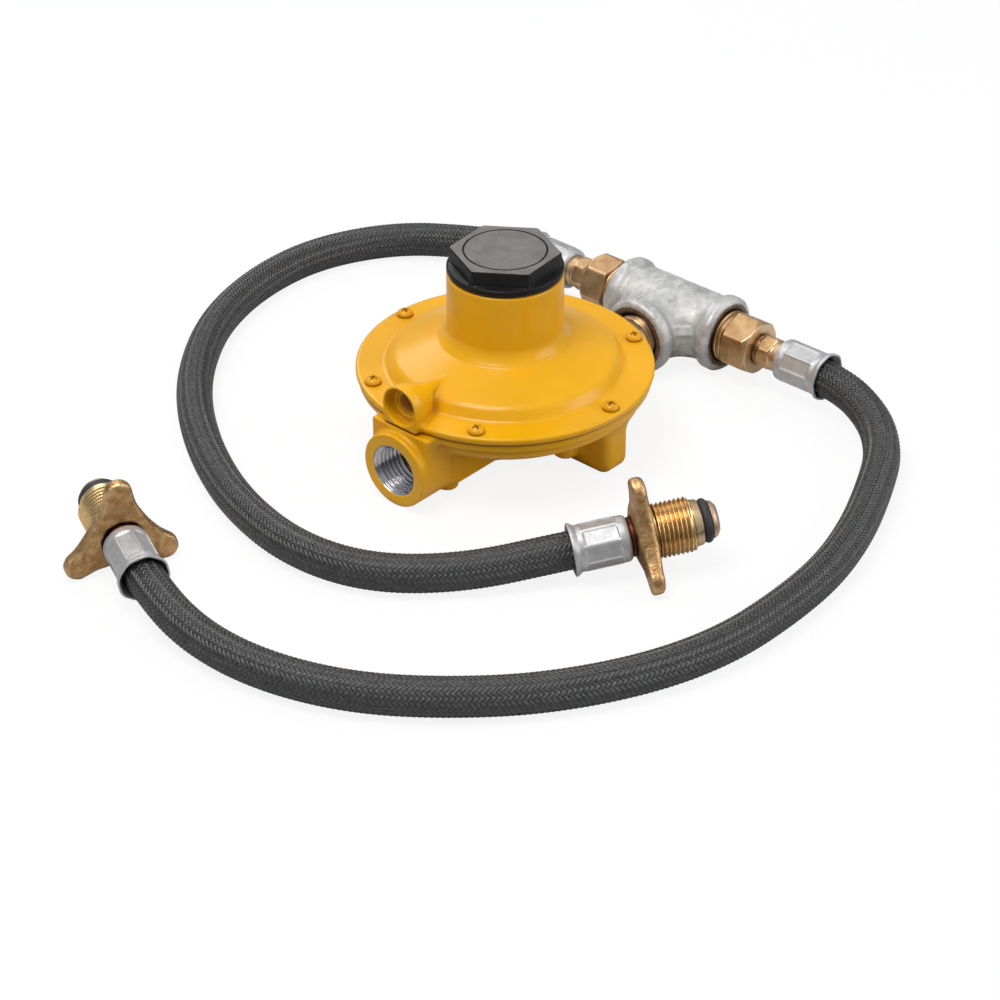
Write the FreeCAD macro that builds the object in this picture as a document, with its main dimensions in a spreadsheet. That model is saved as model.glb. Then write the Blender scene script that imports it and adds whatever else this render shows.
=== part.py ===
import FreeCAD, Part
import math
import os
from types import SimpleNamespace

import Sketcher
from FreeCAD import Placement, Rotation, Vector

# Two-bottle propane regulator with a pair of braided pigtail hoses.
# Row frame in millimetres: +Z up, floor at Z 0, +X from the regulator's outlet to its inlet tee.
# X 0 is halfway between the outlet's face and the tee's outer bead, Y 0 is the regulator's axis.

SIZES = {
    # Regulator flanges and bonnet
    "flange_radius": "62.6",
    "bonnet_flange": "3.0",
    "seam_height": "34.6",
    "flange_width": "12.6",
    "step_slope": "3.2",
    "step_rise": "4.9",
    "cone_rise": "9.0",
    "tower_radius": "24.3",
    "tower_top": "81.2",
    "tower_bore": "18.5",
    "cap_bore": "20.5",
    "cap_bore_depth": "9.4",
    "bonnet_wall": "3.0",
    "tower_fillet": "4.5",
    "flange_round": "0.8",
    # Vent boss on the bonnet
    "vent_stand_out": "1.9",
    "vent_height": "44.7",
    "vent_boss_radius": "9.0",
    "vent_cup_radius": "7.4",
    "vent_cup_depth": "5.0",
    "vent_hole_radius": "4.3",
    "vent_hole_end": "41.5",
    "vent_thread_length": "8.0",
    "vent_passage": "2.0",
    "screen_radius": "4.0",
    "vent_rib_start": "60.0",
    "vent_rib_end": "37.5",
    "vent_rib_width": "1.6",
    "vent_block_end": "43.0",
    "vent_drop_radius": "1.6",
    "vent_drop_reach": "42.6",
    "screen_thickness": "0.6",
    # Lower casing
    "casing_inset": "1.1",
    "casing_flange": "3.1",
    "band_inset": "3.0",
    "band_height": "27.0",
    "bowl_inset": "11.5",
    "bowl_height": "21.0",
    "well_outer_radius": "25.5",
    "well_shoulder": "17.0",
    "well_bottom": "5.0",
    "well_radius": "21.5",
    "well_floor": "6.8",
    "cavity_inset": "6.0",
    "casing_wall": "3.4",
    "foot_start": "4.4",
    "foot_thickness": "14.5",
    "foot_reach": "53.0",
    "foot_inner": "20.0",
    "foot_top": "26.0",
    # Outlet
    "outlet_stand_out": "6.1",
    "outlet_radius": "16.4",
    "outlet_thread_radius": "9.65",
    "outlet_thread_length": "16.0",
    "outlet_collar_length": "18.0",
    "outlet_passage": "7.5",
    "neck_stand_out": "2.2",
    "neck_half_width": "15.5",
    "neck_bottom": "5.5",
    "neck_length": "46.0",
    "lump_radius": "4.5",
    "lump_reach": "43.0",
    "lump_offset": "10.0",
    "lump_bottom": "0.6",
    # Inlet
    "inlet_offset": "5.6",
    "inlet_set_back": "2.6",
    "inlet_boss_radius": "14.5",
    "inlet_boss_length": "16.0",
    "inlet_thread_length": "14.0",
    "inlet_web_radius": "9.5",
    # Screws and diaphragm
    "screw_edge": "5.1",
    "screw_head_radius": "3.5",
    "screw_head_height": "2.4",
    "screw_radius": "1.9",
    "screw_hole_radius": "2.2",
    "screw_length": "8.5",
    "recess_length": "3.8",
    "recess_width": "0.9",
    "recess_depth": "1.1",
    "diaphragm_thickness": "0.8",
    "diaphragm_drop": "3.6",
    "diaphragm_roll": "5.0",
    "plate_edge": "5.0",
    "plate_thickness": "1.5",
    "plate_rim": "2.2",
    # Post, relief spring, main spring and adjuster
    "post_radius": "3.0",
    "post_tip_radius": "0.5",
    "post_tip_rise": "1.5",
    "post_flange_radius": "6.5",
    "post_flange": "1.6",
    "post_top": "50.0",
    "relief_nut_flats": "10.0",
    "relief_nut_height": "3.5",
    "relief_nut_seat": "45.0",
    "relief_coil_radius": "4.6",
    "relief_wire_radius": "0.7",
    "main_coil_radius": "14.0",
    "main_wire_radius": "1.2",
    "seat_height": "59.0",
    "seat_radius": "17.0",
    "seat_thickness": "1.4",
    "seat_pilot_radius": "12.4",
    "seat_pilot_depth": "2.0",
    "adjuster_thickness": "7.0",
    "adjuster_socket_flats": "12.0",
    "adjuster_socket_depth": "5.0",
    # Closing cap
    "cap_seal_thickness": "0.6",
    "cap_seal_inner": "20.8",
    "cap_seal_outer": "23.4",
    "cap_flange_radius": "24.2",
    "cap_flange": "2.8",
    "cap_hex_flats": "40.6",
    "cap_hex_height": "6.3",
    "cap_hex_chamfer": "0.3",
    "cap_thread_length": "8.0",
    "cap_hollow_radius": "17.6",
    "cap_roof": "4.2",
    "cap_ring_radius": "17.2",
    "cap_ring_width": "0.7",
    "cap_ring_depth": "0.4",
    # Inlet valve and lever
    "pivot_reach": "14.0",
    "pivot_drop": "7.1",
    "pin_radius": "1.25",
    "lever_base_length": "3.2",
    "lever_base_height": "3.0",
    "lever_arm_thickness": "1.6",
    "lever_arm_width": "4.0",
    "lever_arm_end": "3.0",
    "lever_upright_top": "2.0",
    "bracket_base": "1.0",
    "bracket_ear": "1.7",
    "guide_start": "3.6",
    "guide_length": "3.8",
    "guide_half_width": "3.3",
    "holder_radius": "5.0",
    "holder_rod_radius": "2.4",
    "holder_length": "9.3",
    "holder_slot": "4.4",
    "holder_slot_width": "4.8",
    "disc_radius": "4.0",
    "disc_thickness": "2.5",
    "disc_stand_out": "1.5",
    "valve_gap": "1.7",
    "orifice_lip_radius": "2.6",
    "orifice_bore": "1.5",
    "orifice_radius": "5.0",
    "orifice_lip_length": "1.2",
    "orifice_length": "12.0",
    "orifice_head_radius": "7.4",
    "orifice_head": "2.5",
    "filter_radius": "6.4",
    "filter_wall": "0.6",
    "filter_length": "9.5",
    # Nipple and tee
    "pipe_thread_radius": "10.65",
    "nipple_bore": "7.9",
    "nipple_engagement": "12.5",
    "nipple_span": "48.4",
    "tee_reach": "28.5",
    "tee_radius": "15.4",
    "bead_radius": "17.0",
    "bead_width": "5.0",
    "bead_round": "1.4",
    "tee_mouth_radius": "11.7",
    "tee_mouth_depth": "1.1",
    "tee_thread_length": "14.5",
    "tee_passage": "9.2",
    # Bush, hose tail and ferrule, measured outward from the tee's face
    "bush_engagement": "12.5",
    "bush_collar_radius": "11.6",
    "bush_collar": "5.0",
    "bush_hex_flats": "23.0",
    "bush_hex": "13.5",
    "bush_chamfer": "1.2",
    "bush_bore": "4.0",
    "tail_thread_radius": "6.0",
    "tail_thread_length": "9.0",
    "tail_neck_radius": "6.5",
    "tail_neck": "2.5",
    "tail_hex_flats": "14.0",
    "tail_hex": "6.5",
    "tail_shank_radius": "7.0",
    "tail_shank": "3.5",
    "tail_bore": "2.4",
    "barb_length": "17.0",
    "ferrule_radius": "9.3",
    "ferrule_length": "23.8",
    "ferrule_end_wall": "1.2",
    "ferrule_mouth_radius": "10.6",
    "ferrule_flare_length": "3.0",
    "ferrule_rim": "0.8",
    "ferrule_flat_reach": "8.85",
    "ferrule_flat_start": "3.6",
    "hose_radius": "7.75",
    "hose_bore": "4.0",
    # Bottle connectors, measured from the tip of the nose towards the hose
    "nose_tip_radius": "5.5",
    "nose_radius": "7.8",
    "nose_length": "3.0",
    "ring_wire": "1.9",
    "ring_radius": "7.1",
    "head_front_radius": "9.0",
    "head_back_radius": "9.6",
    "head_end": "10.3",
    "stem_radius": "5.5",
    "axial_play": "0.2",
    "bottle_thread_radius": "11.175",
    "bottle_thread_length": "13.5",
    "thread_pitch": "1.814",
    "wheel_start": "26.0",
    "wheel_thickness": "6.8",
    "wheel_hub_radius": "13.0",
    "wheel_radius": "26.4",
    "wing_tip_radius": "5.7",
    "wing_root_half": "10.0",
    "hub_back": "0.8",
    "hub_back_radius": "9.6",
    "collar_radius": "8.0",
    "collar_end": "35.8",
    "connector_a_x": "-59.95",
    "connector_a_y": "-108.7",
    "connector_a_turn": "-37.74",
    "connector_a_rise": "7.87",
    "connector_b_x": "-199.55",
    "connector_b_y": "54.45",
    "connector_b_turn": "66.23",
    "connector_b_rise": "4.89",
    # Clearances
    "thread_clearance": "0.08",
    "running_clearance": "0.05",
    "gap": "0.3",
}

SCREW_COUNT = 6
SCREW_PHASE = 30
FERRULE_FLAT_COUNT = 8
WING_COUNT = 3
CAP_TURN = 5.4
TEE_TURN_A = 50
TEE_TURN_B = 28
MAIN_TURNS = 6
RELIEF_TURNS = 5
THREAD_DEPTH_SHARE = 0.6
THREAD_CREST_SHARE = 0.25

# Free points of each hose, chosen by hand on the floor plan; the ends come from the ferrules.
HOSE_A_POINTS = [
    (79.0, 115.8, 9.8),
    (61.1, 147.1, 7.9),
    (25.5, 165.4, 7.8),
    (-12.4, 165.9, 7.8),
    (-50.5, 154.2, 7.8),
    (-83.6, 132.0, 7.8),
    (-109.0, 106.5, 7.8),
    (-131.3, 74.0, 7.8),
    (-148.1, 37.6, 7.8),
    (-155.2, -0.8, 7.8),
    (-147.3, -35.0, 7.8),
    (-123.1, -62.3, 8.2),
]
HOSE_B_POINTS = [
    (73.2, -118.3, 12.0),
    (57.5, -135.0, 8.8),
    (33.0, -147.3, 7.8),
    (4.0, -159.6, 7.8),
    (-27.0, -167.7, 7.8),
    (-58.0, -169.6, 7.8),
    (-91.5, -168.0, 7.8),
    (-125.0, -157.6, 7.8),
    (-159.5, -137.0, 7.8),
    (-186.0, -111.5, 7.8),
    (-207.3, -82.8, 7.8),
    (-219.8, -48.5, 7.8),
    (-222.2, -14.0, 8.7),
]
HOSE_LEAD = 28.6
ARC_SHARE = 0.45

ALONG = {
    "z": Rotation(),
    "-z": Rotation(Vector(1, 0, 0), 180),
    "x": Rotation(Vector(0, 1, 0), 90),
    "-x": Rotation(Vector(0, 1, 0), -90),
    "y": Rotation(Vector(1, 0, 0), -90),
    "-y": Rotation(Vector(1, 0, 0), 90),
}


class Size:
    """A number together with the spreadsheet expression that gives it."""

    def __init__(self, number, text):
        self.number = number
        self.text = text

    def __add__(self, other):
        other = size(other)
        return Size(self.number + other.number, f"({self.text} + {other.text})")

    def __sub__(self, other):
        other = size(other)
        return Size(self.number - other.number, f"({self.text} - {other.text})")

    def __mul__(self, other):
        other = size(other)
        return Size(self.number * other.number, f"({self.text} * {other.text})")

    def __truediv__(self, other):
        other = size(other)
        return Size(self.number / other.number, f"({self.text} / {other.text})")

    def __neg__(self):
        return Size(-self.number, f"(0 - {self.text})")


def size(value):
    if isinstance(value, Size):
        return value
    return Size(float(value), f"{float(value):.9g}")


doc = FreeCAD.newDocument("regulator")
sheet = doc.addObject("Spreadsheet::Sheet", "Sizes")
for row, (name, text) in enumerate(SIZES.items(), start=1):
    sheet.set(f"A{row}", name)
    sheet.set(f"B{row}", text)
    sheet.setAlias(f"B{row}", name)
doc.recompute()
s = SimpleNamespace(**{name: Size(float(sheet.get(name)), f"Sizes.{name}") for name in SIZES})

nodes = {}


def bind(item, **sizes):
    for name, value in sizes.items():
        item.setExpression(name, size(value).text)


def put(item, at, along="z", turn=0):
    """Place an object by its base point, the direction of its own Z and a turn about it."""
    rotation = ALONG[along].multiply(Rotation(Vector(0, 0, 1), turn))
    item.Placement = Placement(Vector(*[size(value).number for value in at]), rotation)
    for letter, value in zip("xyz", at):
        bind(item, **{f"Placement.Base.{letter}": value})
    return item


def cylinder(radius, height, at=(0, 0, 0), along="z"):
    item = doc.addObject("Part::Cylinder", "Cylinder")
    bind(item, Radius=radius, Height=height)
    return put(item, at, along)


def box(length, width, height, at=(0, 0, 0), turn=0):
    item = doc.addObject("Part::Box", "Box")
    bind(item, Length=length, Width=width, Height=height)
    return put(item, at, "z", turn)


def prism(sides, flats, height, at=(0, 0, 0), along="z", turn=0):
    """A regular prism given by the width across its flats."""
    item = doc.addObject("Part::Prism", "Prism")
    item.Polygon = sides
    bind(item, Circumradius=size(flats) / (2 * math.cos(math.pi / sides)), Height=height)
    return put(item, at, along, turn)


def torus(ring, wire):
    item = doc.addObject("Part::Torus", "Torus")
    bind(item, Radius1=ring, Radius2=wire)
    return item


def fuse(*parts):
    item = doc.addObject("Part::MultiFuse", "Fusion")
    item.Shapes = list(parts)
    item.Refine = True
    return item


def cut(base, *tools):
    item = doc.addObject("Part::Cut", "Cut")
    item.Base = base
    item.Tool = tools[0] if len(tools) == 1 else fuse(*tools)
    item.Refine = True
    return item


def common(first, second):
    item = doc.addObject("Part::Common", "Common")
    item.Base = first
    item.Tool = second
    return item


def sketch_outline(body, role, points):
    """A closed sketch through the points, each held by two dimensions bound to the sheet."""
    plane = next(f for f in body.Origin.OriginFeatures if f.Role == role)
    sketch = body.newObject("Sketcher::SketchObject", "Sketch")
    sketch.AttachmentSupport = [(plane, "")]
    sketch.MapMode = "FlatFace"
    spots = [Vector(size(x).number, size(y).number, 0) for x, y in points]
    for start, end in zip(spots, spots[1:] + spots[:1]):
        sketch.addGeometry(Part.LineSegment(start, end), False)
    for index in range(len(points)):
        following = (index + 1) % len(points)
        sketch.addConstraint(Sketcher.Constraint("Coincident", index, 2, following, 1))
    for index, point in enumerate(points):
        for kind, axis, value in (("DistanceX", -2, point[0]), ("DistanceY", -1, point[1])):
            value = size(value)
            if value.text == "0":
                sketch.addConstraint(Sketcher.Constraint("PointOnObject", index, 1, axis))
                continue
            number = sketch.addConstraint(Sketcher.Constraint(kind, -1, 1, index, 1, value.number))
            sketch.setExpression(f"Constraints[{number}]", value.text)
    return sketch


def lathe(points, rounds=()):
    """A turned piece from a closed outline of (radius, height) points, with edges rounded.

    Each round is (radius of the edge, its height, radius of the round).
    """
    body = doc.addObject("PartDesign::Body", "Body")
    sketch = sketch_outline(body, "XZ_Plane", points)
    turned = body.newObject("PartDesign::Revolution", "Revolution")
    turned.Profile = sketch
    turned.ReferenceAxis = (sketch, ["V_Axis"])
    turned.Angle = 360
    body.Tip = turned
    for radius, height, round_radius in rounds:
        doc.recompute()
        before = body.Tip
        edge = find_ring(before.Shape, size(radius).number, size(height).number)
        rounded = body.newObject("PartDesign::Fillet", "Fillet")
        rounded.Base = (before, [edge])
        bind(rounded, Radius=round_radius)
        body.Tip = rounded
    return body


def find_ring(shape, radius, height):
    for number, edge in enumerate(shape.Edges, start=1):
        curve = edge.Curve
        if isinstance(curve, Part.Circle) and abs(curve.Radius - radius) < 0.01:
            if abs(curve.Center.z - height) < 0.01:
                return f"Edge{number}"
    raise ValueError(f"no ring of radius {radius} at height {height}")


def plate_outline(points, height, at=(0, 0, 0), along="z", turn=0):
    """A flat plate padded from a closed outline."""
    body = doc.addObject("PartDesign::Body", "Body")
    sketch = sketch_outline(body, "XY_Plane", points)
    pad = body.newObject("PartDesign::Pad", "Pad")
    pad.Profile = sketch
    bind(pad, Length=height)
    body.Tip = pad
    return put(body, at, along, turn)


def thread_points(radius, start, length, depth):
    """Outline points of ring-shaped thread crests from start upward; depth is signed outward."""
    pitch = s.thread_pitch
    count = int(length.number / pitch.number)
    points = []
    for turn in range(count):
        base = start + pitch * turn
        points.append((radius, base))
        points.append((radius, base + pitch * THREAD_CREST_SHARE))
        if turn < count - 1:
            points.append((radius + depth, base + pitch * (0.5 + THREAD_CREST_SHARE / 2)))
    return points


def finish(label, item, at=(0, 0, 0), along="z", turn=0):
    """Name a finished piece and place it in the row frame."""
    item.Label = label
    put(item, at, along, turn)
    nodes[label] = item
    return item


casing_flange_radius = s.flange_radius - s.casing_inset
band_radius = casing_flange_radius - s.band_inset
bowl_radius = casing_flange_radius - s.bowl_inset
step_foot_radius = s.flange_radius - s.flange_width
step_top_radius = step_foot_radius - s.step_slope
cavity_radius = step_foot_radius - s.cavity_inset
diaphragm_flat_radius = cavity_radius - s.diaphragm_roll
plate_radius = diaphragm_flat_radius - s.plate_edge
screw_circle = s.flange_radius - s.screw_edge
vent_reach = s.flange_radius + s.vent_stand_out
outlet_reach = s.flange_radius + s.outlet_stand_out
neck_reach = s.flange_radius + s.neck_stand_out
inlet_reach = s.flange_radius - s.inlet_set_back
manifold_reach = inlet_reach + s.nipple_span
tower_x = (outlet_reach - manifold_reach - s.bead_radius) / 2
tower = (tower_x, 0, 0)
bonnet_base = s.seam_height + s.diaphragm_thickness
flange_top = bonnet_base + s.bonnet_flange
step_top = flange_top + s.step_rise
cone_top = step_top + s.cone_rise
inlet_height = s.bead_radius
outlet_height = s.outlet_radius
thread_depth = s.thread_pitch * THREAD_DEPTH_SHARE


def ring_places(radius):
    """Centres of the flange screws on their circle."""
    for index in range(SCREW_COUNT):
        angle = math.radians(SCREW_PHASE + index * 360 / SCREW_COUNT)
        yield radius * math.cos(angle), radius * math.sin(angle)


def screw_holes(radius, low, high):
    return [cylinder(radius, high - low, (x, y, low)) for x, y in ring_places(screw_circle)]


def build_casing():
    """Die-cast lower casing: bowl, outlet neck, inlet boss, feet, cavity and passages."""
    flange_low = s.seam_height - s.casing_flange
    bowl = lathe([
        (0, s.well_bottom), (s.well_outer_radius, s.well_bottom),
        (s.well_outer_radius, s.well_shoulder), (bowl_radius, s.bowl_height),
        (band_radius, s.band_height), (band_radius, flange_low),
        (casing_flange_radius, flange_low), (casing_flange_radius, s.seam_height),
        (0, s.seam_height),
    ], [(casing_flange_radius, flange_low, s.flange_round)])
    neck_start = -neck_reach
    neck = box(s.neck_length, s.neck_half_width * 2, s.seam_height - s.neck_bottom,
               (neck_start, -s.neck_half_width, s.neck_bottom))
    collar = cylinder(s.outlet_radius, s.outlet_collar_length,
                      (-outlet_reach, 0, outlet_height), "x")
    lump = cylinder(s.lump_radius, s.neck_bottom - s.lump_bottom + 1,
                    (-s.lump_reach, -s.lump_offset, s.lump_bottom))
    boss = cylinder(s.inlet_boss_radius, s.inlet_boss_length,
                    (inlet_reach - s.inlet_boss_length, -s.inlet_offset, inlet_height), "x")
    web = cylinder(s.inlet_web_radius, inlet_reach - s.inlet_boss_length - s.foot_start,
                   (s.foot_start, -s.inlet_offset, inlet_height), "x")
    feet = []
    half = s.foot_thickness / 2
    for side in (-1, 1):
        outer = (s.foot_reach - half) * side
        low = (s.foot_inner if side == 1 else half - s.foot_reach)
        feet.append(box(s.foot_thickness, s.foot_reach - half - s.foot_inner, s.foot_top,
                        (s.foot_start, low, 0)))
        feet.append(cylinder(half, s.foot_top, (s.foot_start + half, outer, 0)))
    solid = fuse(bowl, neck, collar, lump, boss, web, *feet)

    cavity = lathe([
        (0, s.well_floor), (s.well_radius, s.well_floor),
        (s.well_radius, s.well_shoulder + s.casing_wall),
        (cavity_radius, s.bowl_height + s.casing_wall),
        (cavity_radius, s.seam_height + 1), (0, s.seam_height + 1),
    ])
    seat_web = common(
        cylinder(s.inlet_web_radius, inlet_reach,
                 (0, -s.inlet_offset, inlet_height), "x"),
        cut(cylinder(cavity_radius + 1, s.seam_height - s.well_floor, (0, 0, s.well_floor)),
            cylinder(s.well_radius, s.seam_height, (0, 0, 0))))
    outlet_thread = thread_points(
        s.outlet_thread_radius, outlet_reach - s.outlet_thread_length,
        s.outlet_thread_length - s.thread_pitch, thread_depth)
    mouth = s.outlet_thread_radius + thread_depth
    outlet = lathe(
        [(0, outlet_reach - s.outlet_thread_length)] + outlet_thread
        + [(mouth, outlet_reach), (mouth, outlet_reach + 1), (0, outlet_reach + 1)])
    put(outlet, (0, 0, outlet_height), "-x")
    passage = cylinder(s.outlet_passage, outlet_reach - s.outlet_thread_length + 1,
                       (0, 0, outlet_height), "-x")
    port = inlet_reach - s.inlet_thread_length
    inlet = cylinder(s.pipe_thread_radius, s.inlet_thread_length + 1,
                     (port, -s.inlet_offset, inlet_height), "x")
    orifice_back = orifice_front() + s.orifice_lip_length + s.orifice_length
    chamber = cylinder(s.orifice_head_radius + s.running_clearance, port - orifice_back + 1,
                       (orifice_back, -s.inlet_offset, inlet_height), "x")
    seat = cylinder(s.orifice_radius + s.running_clearance, orifice_back + 1,
                    (0, -s.inlet_offset, inlet_height), "x")
    holes = screw_holes(s.screw_radius + s.running_clearance, s.band_height, s.seam_height + 1)
    hollow = cut(cavity, seat_web)
    casing = cut(solid, hollow, outlet, passage, inlet, chamber, seat, *holes)
    finish("lower_casing", casing, tower)


def build_bonnet():
    """Die-cast bonnet: flange, stepped dome, spring tower and vent boss."""
    cone_inner = cone_top - s.bonnet_wall * 0.3
    cap_floor = s.tower_top - s.cap_bore_depth
    bevel = s.flange_round
    shell = lathe([
        (0, bonnet_base), (s.flange_radius, bonnet_base), (s.flange_radius, flange_top - bevel),
        (s.flange_radius - bevel, flange_top), (step_foot_radius, flange_top),
        (step_top_radius + bevel * 0.4, step_top - bevel),
        (step_top_radius - bevel, step_top),
        (s.tower_radius, cone_top), (s.tower_radius, s.tower_top), (0, s.tower_top),
    ], [(s.tower_radius, cone_top, s.tower_fillet)])
    boss_length = vent_reach - s.vent_rib_start
    boss_round = cylinder(s.vent_boss_radius, boss_length, (-vent_reach, 0, s.vent_height), "x")
    taper = (s.vent_boss_radius - s.vent_rib_width) / (s.vent_rib_start - s.vent_rib_end)
    block_half = s.vent_boss_radius - (s.vent_rib_start - s.vent_block_end) * taper
    boss_block = plate_outline(
        [(-vent_reach, -s.vent_boss_radius), (-s.vent_rib_start, -s.vent_boss_radius),
         (-s.vent_block_end, -block_half), (-s.vent_block_end, block_half),
         (-s.vent_rib_start, s.vent_boss_radius), (-vent_reach, s.vent_boss_radius)],
        s.vent_height - bonnet_base, (0, 0, bonnet_base))
    rib = doc.addObject("Part::Cone", "Cone")
    bind(rib, Radius1=s.vent_boss_radius, Radius2=s.vent_rib_width,
         Height=s.vent_rib_start - s.vent_rib_end)
    put(rib, (-s.vent_rib_start, 0, s.vent_height), "x")
    hollow = lathe([
        (0, bonnet_base - 1), (cavity_radius, bonnet_base - 1),
        (step_top_radius - s.bonnet_wall, step_top - s.bonnet_wall),
        (s.tower_bore, cone_inner), (s.tower_bore, cap_floor), (s.cap_bore, cap_floor),
        (s.cap_bore, s.tower_top + 1), (0, s.tower_top + 1),
    ])
    cup_floor = vent_reach - s.vent_cup_depth
    vent_floor = cup_floor - s.vent_thread_length
    vent_thread = thread_points(s.vent_hole_radius, vent_floor + s.thread_pitch,
                                s.vent_thread_length - s.thread_pitch, thread_depth * 0.5)
    pocket_floor = vent_floor - s.screen_thickness
    vent = lathe(
        [(0, s.vent_hole_end), (s.vent_passage, s.vent_hole_end), (s.vent_passage, pocket_floor),
         (s.screen_radius, pocket_floor), (s.screen_radius, vent_floor),
         (s.vent_hole_radius, vent_floor)] + vent_thread[1:]
        + [(s.vent_hole_radius, cup_floor), (s.vent_cup_radius, cup_floor),
           (s.vent_cup_radius, vent_reach + 1), (0, vent_reach + 1)])
    put(vent, (0, 0, s.vent_height), "-x")
    drop = cylinder(s.vent_drop_radius, s.vent_height - bonnet_base,
                    (-s.vent_drop_reach, 0, bonnet_base))
    holes = screw_holes(s.screw_hole_radius, bonnet_base - 1, flange_top + 1)
    solid = fuse(shell, boss_round, boss_block, rib)
    finish("bonnet", cut(solid, hollow, vent, drop, *holes), tower)

    screen = cylinder(s.screen_radius - s.running_clearance, s.screen_thickness)
    finish("vent_screen", screen, (tower_x - pocket_floor, 0, s.vent_height), "-x")


def build_diaphragm():
    """Moulded diaphragm with its rolled edge, the dished plate, the post and relief parts."""
    low = s.seam_height - s.diaphragm_drop
    thick = s.diaphragm_thickness
    stem_hole = s.post_radius + s.running_clearance
    sheet_body = lathe([
        (stem_hole, low), (diaphragm_flat_radius, low),
        (cavity_radius - s.gap, s.seam_height), (casing_flange_radius, s.seam_height),
        (casing_flange_radius, s.seam_height + thick),
        (cavity_radius - s.gap * 4, s.seam_height + thick),
        (diaphragm_flat_radius - s.gap * 2, low + thick), (stem_hole, low + thick),
    ])
    holes = screw_holes(s.screw_hole_radius, s.seam_height - 1, s.seam_height + 2)
    finish("diaphragm", cut(sheet_body, *holes), tower)

    plate_low = low + thick
    plate_top = plate_low + s.plate_thickness
    plate = lathe([
        (stem_hole, plate_low), (plate_radius, plate_low),
        (plate_radius, plate_top + s.plate_rim),
        (plate_radius - s.plate_thickness, plate_top + s.plate_rim),
        (plate_radius - s.plate_thickness, plate_top), (stem_hole, plate_top),
    ])
    finish("diaphragm_plate", plate, tower)

    tip = inlet_height - s.pivot_drop + s.lever_arm_thickness + s.gap
    post = lathe([
        (0, tip), (s.post_tip_radius, tip), (s.post_radius, tip + s.post_tip_rise),
        (s.post_radius, low - s.post_flange), (s.post_flange_radius, low - s.post_flange),
        (s.post_flange_radius, low), (s.post_radius, low), (s.post_radius, s.post_top),
        (0, s.post_top),
    ])
    finish("pusher_post", post, tower)

    nut = cut(prism(6, s.relief_nut_flats, s.relief_nut_height, (0, 0, s.relief_nut_seat)),
              cylinder(stem_hole, s.relief_nut_height + 2, (0, 0, s.relief_nut_seat - 1)))
    finish("relief_nut", nut, tower)
    coil("relief_spring", s.relief_coil_radius, s.relief_wire_radius, plate_top,
         s.relief_nut_seat, RELIEF_TURNS)
    coil("main_spring", s.main_coil_radius, s.main_wire_radius, plate_top,
         s.seat_height, MAIN_TURNS)


def build_adjuster():
    """Spring seat, hollow-socket adjusting screw, cap seal and hexagon closing cap."""
    seat = lathe([
        (0, s.seat_height - s.seat_pilot_depth),
        (s.seat_pilot_radius, s.seat_height - s.seat_pilot_depth),
        (s.seat_pilot_radius, s.seat_height), (s.seat_radius, s.seat_height),
        (s.seat_radius, s.seat_height + s.seat_thickness), (0, s.seat_height + s.seat_thickness),
    ])
    finish("spring_seat", seat, tower)

    screw_low = s.seat_height + s.seat_thickness
    screw_top = screw_low + s.adjuster_thickness
    disc = cylinder(s.tower_bore - s.thread_clearance, s.adjuster_thickness, (0, 0, screw_low))
    socket = prism(6, s.adjuster_socket_flats, s.adjuster_socket_depth + 1,
                   (0, 0, screw_top - s.adjuster_socket_depth))
    finish("adjusting_screw", cut(disc, socket), tower)

    seal = lathe([
        (s.cap_seal_inner, s.tower_top), (s.cap_seal_outer, s.tower_top),
        (s.cap_seal_outer, s.tower_top + s.cap_seal_thickness),
        (s.cap_seal_inner, s.tower_top + s.cap_seal_thickness),
    ])
    finish("cap_seal", seal, tower)

    rim_low = s.tower_top + s.cap_seal_thickness
    rim_top = rim_low + s.cap_flange
    top = rim_top + s.cap_hex_height
    thread_radius = s.cap_bore - s.thread_clearance
    skirt = lathe([
        (s.cap_hollow_radius, rim_low - s.cap_thread_length),
        (thread_radius, rim_low - s.cap_thread_length), (thread_radius, rim_low),
        (s.cap_flange_radius, rim_low), (s.cap_flange_radius, rim_top),
        (0, rim_top), (0, rim_top - s.cap_roof / 2), (s.cap_hollow_radius, rim_top - s.cap_roof / 2),
    ], [(s.cap_flange_radius, rim_top, s.flange_round)])
    hexagon = chamfered_hexagon(s.cap_hex_flats, rim_top - 1, top, s.cap_hex_chamfer, 1)
    hollow = cylinder(s.cap_hollow_radius, top - s.cap_roof - rim_low, (0, 0, rim_low))
    ring = lathe([
        (s.cap_ring_radius, top - s.cap_ring_depth),
        (s.cap_ring_radius + s.cap_ring_width, top - s.cap_ring_depth),
        (s.cap_ring_radius + s.cap_ring_width, top + 1), (s.cap_ring_radius, top + 1),
    ])
    finish("closing_cap", cut(fuse(skirt, hexagon), hollow, ring), tower, "z", CAP_TURN)


def chamfered_hexagon(flats, low, high, chamfer, upper_only=0):
    """A hexagonal prism whose corners are turned off by a cone at its ends."""
    corner = flats / (2 * math.cos(math.pi / 6))
    inner = corner - chamfer * 2
    outline = [(0, low), (inner, low), (corner, low + chamfer)]
    if upper_only:
        outline = [(0, low), (corner, low)]
    envelope = lathe(outline + [(corner, high - chamfer), (inner, high), (0, high)])
    return common(prism(6, flats, high - low, (0, 0, low)), envelope)


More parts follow.
